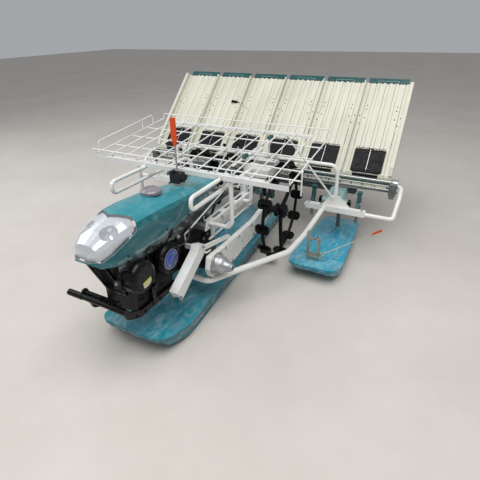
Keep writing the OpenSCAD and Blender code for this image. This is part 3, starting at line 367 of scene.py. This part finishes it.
# the finish of a slot goes by the slot's own name, apart from these slots and nodes
SLOT = {"black_rubber": "grip_rubber", "tyre_rubber": "wheel_rubber", "grey_plastic": "cap_plastic"}
NODE = {"engine_block": "engine_grey", "lift_channels": "white_sheet", "frame_plates": "white_sheet",
        "cover_box": "white_sheet", "row_marker_left": "marker_rod", "row_marker_right": "marker_rod",
        "feed_belts": "belt_rubber", "transmission": "engine_grey", "centre_float": "teal_float_shaded"}
for part in frame["record"]["subparts"]:
    name, slot = part["node"], part["material_slot"]
    nodes[name].data.materials.clear()
    nodes[name].data.materials.append(M[NODE.get(name, SLOT.get(slot, slot))])


# ---------------------------------------------------------------- mesh helpers
def show(name, data, material, body):
    """object of a mesh or curve, with its material, that rides on a body"""
    data.materials.clear()
    data.materials.append(M[material])
    o = bpy.data.objects.new(name, data)
    bpy.context.scene.collection.objects.link(o)
    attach(o, body)
    return o


def piece(name, verts, faces, material, body, smooth=False):
    me = bpy.data.meshes.new(name)
    me.from_pydata([tuple(v) for v in verts], [], faces)
    me.validate()
    me.update()
    bm = bmesh.new()
    bm.from_mesh(me)
    bmesh.ops.recalc_face_normals(bm, faces=bm.faces)
    bm.to_mesh(me)
    bm.free()
    for p in me.polygons:
        p.use_smooth = smooth
    return show(name, me, material, body)


# corners of a chamfered rectangle: its sides' signs, and the direction in which the chamfer moves the corner
CORNERS = ((-1, -1, 1, 0), (1, -1, -1, 0), (1, -1, 0, 1), (1, 1, 0, -1),
           (1, 1, -1, 0), (-1, 1, 1, 0), (-1, 1, 0, -1), (-1, -1, 0, 1))


class Pile:
    """gathers small shapes of one material on one body into one mesh; places in metres, sizes in mm"""
    def __init__(self):
        self.v, self.f = [], []

    def skin(self, base, rings, seg):
        """closed skin over the rings of points that start at base"""
        for i in range(rings - 1):
            for k in range(seg):
                p = base + i * seg + k
                q = base + i * seg + (k + 1) % seg
                self.f.append((p, q, q + seg, p + seg))
        self.f.append(tuple(range(base, base + seg))[::-1])
        self.f.append(tuple(range(base + (rings - 1) * seg, base + rings * seg)))

    def turned(self, origin, direction, profile, seg=24):
        """shape turned round an axis; the profile holds radius and height"""
        d = Vector(direction).normalized()
        a = d.orthogonal().normalized()
        b = d.cross(a)
        base = len(self.v)
        for r, h in profile:
            for k in range(seg):
                t = 2 * math.pi * k / seg
                self.v.append(Vector(origin) + (a * math.cos(t) + b * math.sin(t)) * r / 1000 + d * h / 1000)
        self.skin(base, len(profile), seg)

    def bolt(self, origin, direction, r=7):
        """washer, hexagonal head and the screw's end"""
        self.turned(origin, direction, [(r * 1.35, 0), (r * 1.35, r * 0.22), (r * 1.25, r * 0.28)], 16)
        head = [(r * 0.98, r * 0.2), (r, r * 0.3), (r, r * 0.85), (r * 0.86, r * 1.0)]
        self.turned(origin, direction, head, 6)
        self.turned(origin, direction, [(r * 0.5, r * 0.9), (r * 0.5, r * 1.35), (r * 0.38, r * 1.5)], 10)

    def slab(self, middle, axes, sizes, chamfer=0.8):
        """box with chamfered edges, along three axes"""
        u, v, w = (Vector(a).normalized() for a in axes)
        hu, hv, hw = (s / 2000 for s in sizes)
        e = chamfer / 1000
        base = len(self.v)
        for z, inset in ((-hw, e), (-hw + e, 0), (hw - e, 0), (hw, e)):
            for sx, sy, ex, ey in CORNERS:
                x = sx * (hu - inset) + ex * e
                y = sy * (hv - inset) + ey * e
                self.v.append(Vector(middle) + u * x + v * y + w * z)
        self.skin(base, 4, len(CORNERS))

    def tube(self, points, r, seg=10):
        """round bar along the points; r is one radius, or one for each point"""
        points = [Vector(p) for p in points]
        last = len(points) - 1
        radii = r if isinstance(r, (list, tuple)) else [r] * len(points)
        a = (points[1] - points[0]).normalized().orthogonal().normalized()
        base = len(self.v)
        for i, (p, radius) in enumerate(zip(points, radii)):
            t = (points[min(i + 1, last)] - points[max(i - 1, 0)]).normalized()
            a = (a - t * a.dot(t)).normalized()
            b = t.cross(a)
            for k in range(seg):
                g = 2 * math.pi * k / seg
                self.v.append(p + (a * math.cos(g) + b * math.sin(g)) * (radius / 1000))
        self.skin(base, len(points), seg)

    def make(self, name, material, body="chassis", smooth=False):
        return piece(name, self.v, self.f, material, body, smooth)


UPRIGHT = (X, Y, Z)          # axes of a box that stands square
FACING = (X, Z, Y)           # of a plate that faces front or rear
SLOPED = (X, ALONG, OUT)     # of a plate that lies on the tray
LABEL = ((0, 1, 0.14), (0, -0.14, 1), X)      # of the plates on the silencer


def spline(points, steps):
    """smooth line through the points (Catmull-Rom)"""
    p = [Vector(x) for x in points]
    p = [p[0] * 2 - p[1]] + p + [p[-1] * 2 - p[-2]]
    line = []
    for a, b, c, d in zip(p, p[1:], p[2:], p[3:]):
        for s in range(steps):
            t = s / steps
            line.append(0.5 * (2 * b + (c - a) * t + (2 * a - 5 * b + 4 * c - d) * t * t
                               + (3 * b - a - 3 * c + d) * t ** 3))
    return line + [p[-2]]


def seat(node, start, direction):
    """first point of a CAD node's surface met from start along direction, with its normal"""
    hit, place, normal, _ = nodes[node].ray_cast(start, Vector(direction).normalized(), distance=3)
    return (place, normal) if hit else (None, None)


def cable(name, points, diameter, body):
    """a cable or hose of one smooth line; both ends go into the machine"""
    line = spline(points, 7)
    curve = bpy.data.curves.new(name, "CURVE")
    curve.dimensions = "3D"
    curve.bevel_depth = diameter / 2
    curve.bevel_resolution = 3
    curve.use_fill_caps = True
    path = curve.splines.new("POLY")
    path.points.add(len(line) - 1)
    for p, q in zip(path.points, line):
        p.co = (*q, 1)
    o = show(name, curve, "hose_rubber", body)


def bolts(pile, node, points, direction, r=6):
    """bolt heads seated on the node's surface, met from 400 mm off against direction, and sunk 0.3 mm"""
    d = Vector(direction)
    for p in points:
        place, normal = seat(node, at(*p) + d * 0.4, -d)
        if place is not None and normal.dot(d) > 0.5:
            pile.bolt(place - normal * 0.0003, normal, r)


def side_points(x, *places):
    return [(x, y, z) for y, z in places]


def ring(x, y, z, r, count, phase=0.0):
    """points round a circle that faces sideways"""
    turns = [2 * math.pi * (k + phase) / count for k in range(count)]
    return [(x, y + r * math.cos(t), z + r * math.sin(t)) for t in turns]


# ---------------------------------------------------------------- cords between the engine and the gearbox
# name, diameter in metres, stiffness, and places from the end at the engine
for name, diameter, stiffness, *places in (
        ("throttle_cable", 0.007, "medium", (96, -1196, 476), (112, -1172, 500), (118, -1130, 516),
         (112, -1075, 530), (106, -1030, 552), (101, -990, 577)),
        ("fuel_hose", 0.009, "medium", (92, -1190, 450), (124, -1160, 446), (134, -1120, 470),
         (124, -1085, 520), (108, -1060, 566)),
        ("clutch_cable", 0.007, "medium", (60, -1110, 428), (84, -1080, 452), (104, -1030, 470),
         (112, -960, 492), (104, -900, 540), (90, -850, 590)),
        ("stop_wire", 0.004, "limp", (84, -1240, 512), (100, -1215, 536), (106, -1170, 540),
         (108, -1120, 544), (110, -1096, 556), (108, -1070, 570))):
    cable(name, [at(*p) for p in places], diameter, "chassis")

# ---------------------------------------------------------------- fasteners on the frame and the engine
# their places in the side view: y and z
CHAIN_CASE_BOLTS = ((-950, 346), (-800, 340), (-640, 335), (-480, 356), (-362, 374), (-306, 330),
                    (-358, 285), (-470, 268), (-610, 259), (-760, 241), (-880, 233), (-985, 250))
ENGINE_BASE_BOLTS = ((-1572, 300), (-1500, 252), (-1340, 241), (-1170, 247), (-1580, 372))
FRAME_PLATE_BOLTS = ((-950, 462), (-820, 452), (-640, 450), (-520, 446))
ENGINE_BLOCK_BOLTS = ((-1440, 300), (-1300, 290), (-1250, 330), (-1160, 410))
HOOD_BOLTS = ((-1500, 566), (-1250, 572), (-1010, 584))
RAIL_END_BOLTS = ((-20, 470), (20, 450), (-20, 430))
PLANTING_CASE_BOLTS = ((-40, 392), (0, 384), (-30, 310))
ARM_BOLTS = ((-84, 400), (-110, 307), (-100, 350))

zinc, black = Pile(), Pile()
for side, s in SIDES:
    outward = (s, 0, 0)
    bolts(zinc, "wheel_arm_" + side, side_points(0, *CHAIN_CASE_BOLTS), outward)
    bolts(zinc, "pivot_cones", ring(s * 300, -1050, 307, 50, 6, 0.5), outward)
    bolts(black, "engine_base", side_points(0, *ENGINE_BASE_BOLTS), outward, 7)
    bolts(zinc, "frame_plates", side_points(0, *FRAME_PLATE_BOLTS), outward, 7)
    bolts(zinc, "transmission", ring(0, -925, 350, 36, 5), outward)
    bolts(zinc, "lift_channels", side_points(s * 200, (-1318, 262), (-1105, 425)), outward, 8)
    bracket = "marker_bracket_" + side
    bolts(zinc, bracket, [(s * x, -481, 290) for x in (552, 612)], Z)
    bolts(zinc, bracket, [(s * x, -400, z) for z in (132, 246) for x in (552, 610)], -Y, 5)
    bolts(zinc, "side_beam_" + side, [(s * x, -190, 400) for x in (450, 530, 790)], Z)
    bolts(black, "hood", side_points(0, *HOOD_BOLTS), outward, 4)
    bolts(black, "guide_rail", side_points(s * 968, *RAIL_END_BOLTS), outward, 5)
bolts(black, "muffler_cover", ring(0, -1470, 455, 57, 4, 0.5), X, 5)
bolts(black, "recoil_starter", ring(0, STARTER_Y, STARTER_Z, 70, 3, 0.25), X)
bolts(black, "engine_block", side_points(0, *ENGINE_BLOCK_BOLTS), X, 7)
bolts(zinc, "engine_block", [(0, -1180, 500)], X, 8)
bolts(zinc, "cover_box", [(120, -470, 620), (240, -470, 620), (120, -310, 640), (240, -310, 640)], Z, 5)
for _, unit_x in UNITS[::-1]:
    for s in (1, -1):
        case_x = unit_x + s * 60
        bolts(zinc, "planting_cases", ring(case_x, -110, 341, 26, 4, 0.5), (s, 0, 0), 4)
        bolts(zinc, "planting_cases", side_points(case_x, *PLANTING_CASE_BOLTS), (s, 0, 0), 4)
    bolts(zinc, "guide_rail", [(unit_x - 60, -60, 452), (unit_x + 60, -60, 452)], -Y, 4)
bolts(zinc, "spare_rack", [(x, -943, 760) for x in (-470, -160, 160, 470)], Z, 5)

# bracket beside the silencer
black.slab(at(80, -1560, 452), ((1, 0.2, 0), Z, Y), (34, 46, 3))
black.slab(at(94, -1556, 425), FACING, (26, 16, 8))
zinc.bolt(at(80, -1562, 460), -Y, 6)

# cooling fins and plug boot behind the silencer
fins = Pile()
for k in range(9):
    fins.slab(at(78, FIN_Y, 462 + k * 9), UPRIGHT, (34, 26, 3.2), 0.5)
fins.turned(at(94, FIN_Y, 552), (0.3, 0, 1), [(7, -16), (7, 0), (9, 2), (9, 14), (6, 18)], 12)
fins.make("cylinder_fins", "engine_grey")
zinc.make("bolts_zinc", "bolt_zinc")
black.make("bolts_black", "bolt_black")


# ---------------------------------------------------------------- pieces that the solids don't show
def starter_and_plates():
    """the starter's blue cover with its pale rings, and the blank plates on the silencer"""
    cover, _ = seat("recoil_starter", at(400, STARTER_Y, STARTER_Z), -X)
    middle = at(cover.x * 1000 + 0.2, STARTER_Y, STARTER_Z)
    disc, rings = Pile(), Pile()
    disc.turned(middle, X, [(46, 0), (46, 3), (43, 4.6), (20, 6), (19, 7.5), (6, 8), (2, 8.2)], 48)
    disc.make("starter_disc", "disc_blue", smooth=True)
    for inner, outer, height in ((46.2, 49, 4.5), (30, 31.2, 5.6)):
        rings.turned(middle, X, [(inner, 0), (inner, height), (outer, height), (outer, 0)], 48)
    rings.make("starter_rings", "disc_ring")

    silencer, _ = seat("muffler_cover", at(400, -1462, 432), -X)
    upper = silencer + X * 0.0006
    for name, material, middle, height in (
            ("plate_upper", "label_yellow", upper, 15),
            ("plate_lower", "label_pale", upper + Vector((0, 0.002, -0.0165)), 17)):
        plate = Pile()
        plate.slab(middle, LABEL, (52, height, 1.0), 0.3)
        plate.make(name, material)


def feed_belts():
    """cross ribs on each lane's two belts, the dark web with its teeth round them, and a light bar between"""
    ribs, bars = Pile(), Pile()
    for lane_x in LANE_XS:
        for belt_x in (lane_x - BELT_X, lane_x + BELT_X):
            for k in range(13):
                place, _ = seat("feed_belts", on_tray(belt_x, 22 + k * 12.5, 200), -OUT)
                if place is not None:
                    ribs.slab(place, SLOPED, (84, 3.4, 2.4), 0.4)
        ribs.slab(on_tray(lane_x, 100, 4), SLOPED, (34, 168, 2.6), 0.4)
        for k in range(-8, 9):
            ribs.slab(on_tray(lane_x + k * 11, 183 + 3 * (k * k % 3), 5), SLOPED, (5, 8, 3), 0.5)
        ribs.slab(on_tray(lane_x, 12.5, 3), SLOPED, (176, 19, 2.4), 0.4)
        ribs.slab(at(lane_x, -3.6, 512), FACING, (160, 19, 1.8), 0.4)
        bars.slab(on_tray(lane_x, 100, 6.8), SLOPED, (4, 150, 2.4), 0.5)
    ribs.make("belt_ribs", "belt_rubber", "tray")
    bars.make("belt_bars", "rail_aluminium", "tray")


def connector():
    """small connector left lying on the second lane; its wire goes into a hole of the tray"""
    askew = ((1, -0.06, -0.06), ALONG, OUT)
    plug = Pile()
    plug.slab(on_tray(-372, 463, 12), askew, (46, 17, 13), 2)
    plug.slab(on_tray(-345, 462, 11), askew, (14, 10, 9), 1)
    plug.make("tray_connector", "black_plastic", "tray")
    wire = ((-340, 461.5, 10.5), (-326, 461, 8.6), (-312, 460, 6.4), (-298, 456, 5.8), (-290, 449, 5.6))
    cable("connector_wire", [on_tray(*p) for p in wire], 0.0035, "tray")


def guide_rail():
    """dark strip and second bright bar in front of the gates, end fittings, and a slot in each gate"""
    strip, bar, ends, slots = Pile(), Pile(), Pile(), Pile()
    strip.slab(at(0, -18.3, 479), FACING, (1856, 15, 1.8), 0.3)
    strip.make("rail_strip", "strip_green")
    bar.tube([at(-930, -20.6, 468), at(930, -20.6, 468)], 3.4, 14)
    for x in (-928, -600, -300, 0, 300, 600, 928):
        bar.slab(at(x, -19.6, 470), FACING, (12, 12, 6))
    bar.make("rail_bar", "rail_aluminium")
    for _, s in SIDES:
        ends.slab(at(s * 934, -30, 450), UPRIGHT, (42, 30, 84), 3)
        ends.turned(at(s * 934, -45, 462), -Y, [(13, 0), (13, 3), (8, 4), (8, 8)], 18)
        ends.slab(at(s * 934, -36, 400), UPRIGHT, (30, 18, 18), 2)
    ends.make("rail_ends", "grey_steel")
    for lane_x in LANE_XS:
        for k in range(-2, 3):
            place, normal = seat("rail_gates", at(lane_x + k * 33 - 12, -200, 466), Y)
            if place is not None and normal.y < -0.7:
                slots.slab(place, FACING, (2.4, 34, 0.8), 0.2)
    slots.make("gate_slots", "black_plastic")


def turning_bolts():
    """bolts that turn with the wheels and with the planting arms"""
    for side, s in SIDES:
        hub = Pile()
        bolts(hub, "wheel_" + side, ring(s * 318, WHEEL_Y, WHEEL_Z, 30, 5), (s, 0, 0))
        hub.make("hub_bolts_" + side, "bolt_black", "wheel_" + side)
    for unit, unit_x in UNITS:
        arm = Pile()
        for s in (1, -1):
            bolts(arm, "arms_" + unit, side_points(unit_x + s * 150, *ARM_BOLTS), (s, 0, 0), 5)
        arm.make("arm_bolts_" + unit, "bolt_zinc", "arms_" + unit)


def marker_sleeves():
    """orange sleeves on the outer ends of the row marker rods"""
    for side, s in SIDES:
        foot, tip = at(s * 638, -481, 152), at(s * 918, -134, 208)
        sleeve = Pile()
        sleeve.tube([foot.lerp(tip, t) for t in (0.862, 0.868, 0.99, 1.0)], [6.6, 7.4, 7.4, 6.4], 16)
        sleeve.make("marker_sleeve_" + side, "marker_rod", "marker_" + side)


def feed_drive(sheets, dark, steel):
    """in front of the tray: feed shaft with its hangers and bellows, clamps and small housings on the arch"""
    steel.tube([at(-384, SHAFT_Y, SHAFT_Z), at(196, SHAFT_Y, SHAFT_Z)], 7, 14)
    for x in (-380, 190):
        sheets.slab(at(x, -112, 563), (X, (0, -0.715, 0.699), (0, 0.699, 0.715)), (5, 130, 30))
        steel.turned(at(x - 8, SHAFT_Y, SHAFT_Z), X, [(16, 0), (16, 16), (11, 18)], 20)
    for s in (-1, 1):
        sheets.slab(at(s * 44, -88, 470), (X, (0, -0.28, 1), (0, 1, 0.28)), (5, 160, 44))
        steel.turned(at(s * 47, SHAFT_Y, SHAFT_Z), (s, 0, 0), [(18, 0), (18, 6), (12, 8), (12, 16)], 20)
    sheets.slab(at(0, -96, 556), UPRIGHT, (112, 56, 6))
    dark.slab(at(0, SHAFT_Y, SHAFT_Z), UPRIGHT, (78, 40, 40), 4)
    for x0, x1, folds in ((-350, -84, 14), (66, 178, 6)):
        bellows = [(8 if k % 2 else 12.5, (x1 - x0) * k / folds) for k in range(folds + 1)]
        dark.turned(at(x0, SHAFT_Y, SHAFT_Z), X, bellows, 20)
    for x in (-560, -470, -380, -190, -96, 30, 150, 190):
        sheets.slab(at(x, ARCH_Y, ARCH_Z), UPRIGHT, (26, 34, 34), 3)
        steel.bolt(at(x, ARCH_Y - 17, ARCH_Z), -Y, 5)
    for pile, x, z, width, height in ((sheets, -515, 566, 58, 62), (dark, -412, 572, 44, 48),
                                      (dark, -140, 562, 58, 60), (sheets, 92, 566, 50, 62)):
        pile.slab(at(x, ARCH_Y - 10, z), UPRIGHT, (width, 46, height), 4)
        steel.turned(at(x, ARCH_Y - 33, z), -Y, [(12, 0), (12, 6), (8, 7), (8, 14), (6, 16)], 16)
    sheets.slab(at(-30, -168, 574), (X, (0, 0.2, 1), Y), (72, 34, 4))
    for x, z in ((-196, 640), (-90, 652), (190, 636)):
        knob = at(x + 14, -180, z + 12)
        sheets.tube([at(x, ARCH_Y, ARCH_Z + 8), at(x, -158, z), knob], 6, 10)
        dark.turned(knob, (0.3, -1, 0.4), [(9, -2), (11, 2), (11, 16), (7, 20)], 14)
    for x0, x1 in ((-180, -120), (-60, -92), (66, 60), (176, 132)):
        sheets.tube([at(x0, -162, 596), at((x0 + x1) / 2, -320, 545), at(x1, -462, 476)], 5, 10)


def rack_lip():
    """folded lip on the rack's front angle, notched round the hand tubes"""
    lip = Pile()
    for _, s in SIDES:
        for x0, x1 in ((30, 214), (246, 590)):
            lip.slab(at(s * (x0 + x1) / 2, -962.4, 743.5), FACING, (x1 - x0, 26, 2.2), 0.6)
    lip.make("rack_lip", "white_sheet")


def rack_link(sheets, teal):
    """flat link under the rack with its two posts and its teal blocks"""
    front, rear = at(82, -560, 654), at(150, -140, 730)
    along_link = (rear - front).normalized()
    across = along_link.cross(Z).normalized()
    axes = (along_link, across, across.cross(along_link))
    sheets.slab((front + rear) / 2, axes, ((rear - front).length * 1000, 20, 4), 0.6)
    sheets.tube([at(140, ARCH_Y, ARCH_Z + 8), at(146, -156, 726)], 6, 10)
    sheets.tube([at(104, -425, 610), at(104, -425, 676)], 6, 10)
    for share, shift in ((0.27, 0.012), (0.96, 0.004)):
        teal.slab(front.lerp(rear, share) + Vector((shift, 0, 0.012)), axes, (44, 24, 22), 3)


def tray_details():
    """black discs in the tray's holes and notches and dark marks on the surface at each notch: painted shade;
    light edges of the plates' handle shapes
    """
    shade_pits, edges = Pile(), Pile()
    handle_height = 2.3 - TRAY_FLOOR
    for lane_x in LANE_XS:
        for s in (-1, 1):
            for y, x, height in HOLES:
                # black discs sunk in the holes: painted shade inside the holes
                shade_pits.turned(on_tray(lane_x + s * x, y, height), OUT, [(4.4, -2), (4.4, 0.3), (3.6, 0.4)], 12)
            handle_end = on_tray(lane_x + s * 67.5, TRAY_LENGTH + 13, handle_height)
            edges.slab(handle_end, SLOPED, (2.5, 16, 0.5), 0.1)
        for x in NOTCH_XS:
            notch = on_tray(lane_x + x, TRAY_LENGTH - 1, -TRAY_FLOOR)
            # black discs in the notches at the top edge, and dark marks on the surface just below them:
            # painted shade of the notches
            shade_pits.turned(notch, OUT, [(4.6, -0.1), (4.6, 1.2), (4.2, 1.4)], 12)
            on_strip = STRIP_HEIGHT if x else 0
            shade_pits.slab(on_tray(lane_x + x, TRAY_LENGTH - 3.6, on_strip + 0.2), SLOPED, (15, 6, 0.5), 0.2)
        edges.slab(on_tray(lane_x, TRAY_LENGTH + 20.5, handle_height), SLOPED, (136, 2.6, 0.5), 0.1)
    shade_pits.make("tray_shade_pits", "belt_rubber", "tray")
    edges.make("handle_edges", "pale_case", "tray")


def tray_underside():
    """stiffening ribs and bolts on the tray's underside"""
    back = Pile()
    for y in (110, 250, 380, 600):
        back.slab(on_tray(0, y, -11), SLOPED, (1780, 22, 11), 3)
    for x in (-876, -600, -300, 0, 300, 600, 876):
        for y in (180, 560):
            back.bolt(on_tray(x, y, -6), -OUT, 6)
    back.make("tray_ribs", "cream_tray", "tray")


def hand_levers():
    """levers below the grips"""
    lever = Pile()
    for _, s in SIDES:
        places = ((225, 640, 752), (232, 672, 742), (236, 706, 734), (232, 724, 738))
        line = spline([at(s * x, y, z) for x, y, z in places], 5)
        lever.tube(line, [6] * 3 + [5.5] * 4 + [5.2] * 2 + [5] * 6 + [4.5], 8)
        lever.slab(at(s * 227, 636, 762), UPRIGHT, (34, 26, 20), 3)
    lever.make("hand_levers", "black_steel")


def tube_plugs():
    """rubber plugs in the outer ends of the side tubes"""
    plugs = Pile()
    for _, s in SIDES:
        plugs.turned(at(s * 699.5, 46, 385), (s, 0, 0), [(22, 0), (24, 1), (24, 3), (20, 5)], 20)
    plugs.make("tube_plugs", "black_plastic")


starter_and_plates()
feed_belts()
connector()
guide_rail()
turning_bolts()
marker_sleeves()
sheets, dark, teal, steel = Pile(), Pile(), Pile(), Pile()
feed_drive(sheets, dark, steel)
rack_lip()
rack_link(sheets, teal)
sheets.make("drive_sheets", "white_sheet")
dark.make("drive_housings", "black_plastic")
teal.make("link_blocks", "teal_metal")
steel.make("drive_shaft", "bolt_zinc")
tray_details()
tray_underside()
hand_levers()
tube_plugs()

# ---------------------------------------------------------------- clear film on the floats and under the hood
FILM_OFF, FILM_WAVE, FILM_VOXEL = 0.005, 0.004, 0.012      # metres
FILM_BOTTOM = 0.02                                         # the film ends here, above the floats' soles
FLOOR_GAP = 0.0012


def film(name, node, seed):
    """film drawn round a CAD node: its outside remeshed, smoothed, pushed out and drawn into soft folds"""
    shell = nodes[node].data.copy()
    o = bpy.data.objects.new(name, shell)
    bpy.context.scene.collection.objects.link(o)
    remesh = o.modifiers.new("r", "REMESH")
    remesh.mode = "VOXEL"
    remesh.voxel_size = FILM_VOXEL
    me = bpy.data.meshes.new_from_object(o.evaluated_get(bpy.context.evaluated_depsgraph_get()))
    o.modifiers.clear()
    o.data = me
    bpy.data.meshes.remove(shell)
    bm = bmesh.new()
    bm.from_mesh(me)
    for _ in range(3):
        bmesh.ops.smooth_vert(bm, verts=bm.verts, factor=0.5, use_axis_x=True, use_axis_y=True,
                              use_axis_z=True)
    bm.normal_update()
    bmesh.ops.delete(bm, geom=[v for v in bm.verts if v.co.z <= FILM_BOTTOM], context="VERTS")
    for v in bm.verts:
        q = Vector((v.co.x * 14 + seed, v.co.y * 5, v.co.z * 14))
        fold = noise.noise(q) + 0.6 * noise.noise(q * 2.3) + 0.35 * abs(noise.noise(q * 5.1))
        v.co += v.normal * (FILM_OFF + FILM_WAVE * fold)
        v.co.z = max(v.co.z, FLOOR_GAP)
    bm.to_mesh(me)
    bm.free()
    for p in me.polygons:
        p.use_smooth = True
    me.materials.clear()
    me.materials.append(M["loose_film"])
    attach(o, "chassis")


def skirt(name, s, seed):
    """film that hangs loose below the hood's edge: columns from front to rear, each from top to bottom"""
    verts, faces = [], []
    cols, rows = 70, 9
    front_y, length = -1560, 640
    for i in range(cols + 1):
        t = i / cols
        y = front_y + length * t
        behind = max(0, (y + 1190) / 290)
        edge_z = 552 + 26 * behind - 6 * (1 - t)
        edge_x = 98 + 22 * min(1, (y - front_y) / 220) if y < -1340 else 121 - 14 * behind
        drop = (26 + 16 * noise.noise(Vector((seed, y * 0.011, 0)))
                + 8 * noise.noise(Vector((seed, y * 0.05, 2))))
        for j in range(rows + 1):
            h = j / rows
            wide = 6 * noise.noise(Vector((y * 0.022, h * 2.0, seed)))
            narrow = 3 * noise.noise(Vector((y * 0.07, h * 4, seed)))
            wave = (wide + narrow) * (0.25 + h)
            verts.append(at(s * (edge_x + 3 + 5 * h + wave), y + 3 * wave * h, edge_z + 22 - (22 + drop) * h))
    for i in range(cols):
        for j in range(rows):
            a = i * (rows + 1) + j
            faces.append((a, a + 1, a + rows + 2, a + rows + 1))
    piece(name, verts, faces, "loose_film", "chassis", True)


film("film_centre", "centre_float", 3.0)
film("film_left", "side_float_left", 11.0)
film("film_right", "side_float_right", 23.0)
skirt("film_bonnet_left", 1, 4.0)
skirt("film_bonnet_right", -1, 9.0)

# ---------------------------------------------------------------- pale floor and soft studio light
bpy.ops.mesh.primitive_plane_add(size=40, location=(0, 0, 0))
floor = bpy.context.object
floor.name = "floor"
floor_material = bpy.data.materials.new("floor")
n = Nodes(floor_material)
n.set(base_color=n.mix(n.remap(n.noise(1.2, 6, 0.7), 0.3, 0.7), (0.56, 0.52, 0.47), (0.64, 0.60, 0.55)),
      roughness=0.9, normal=n.bump(n.noise(160, 4, 0.7), 0.35, 0.002))
floor.data.materials.append(floor_material)
world = bpy.data.worlds.new("world")
bpy.context.scene.world = world
world.use_nodes = True
sky = world.node_tree.nodes["Background"].inputs
sky["Color"].default_value = (0.92, 0.95, 1.0, 1)
sky["Strength"].default_value = 0.40


def area(name, place, target, size, power, colour=(1, 1, 1)):
    """square lamp that points at the target"""
    lamp = bpy.data.lights.new(name, "AREA")
    lamp.size = size
    lamp.energy = power
    lamp.color = colour
    o = bpy.data.objects.new(name, lamp)
    o.location = place
    o.rotation_euler = (Vector(target) - Vector(place)).to_track_quat("-Z", "Y").to_euler()
    bpy.context.scene.collection.objects.link(o)


area("key", (0.8, -1.6, 4.6), (0, 0, 0.4), 3.8, 200)
area("fill", (-4, -1.0, 3.0), (0, 0, 0.4), 3.0, 66, (0.95, 0.97, 1))
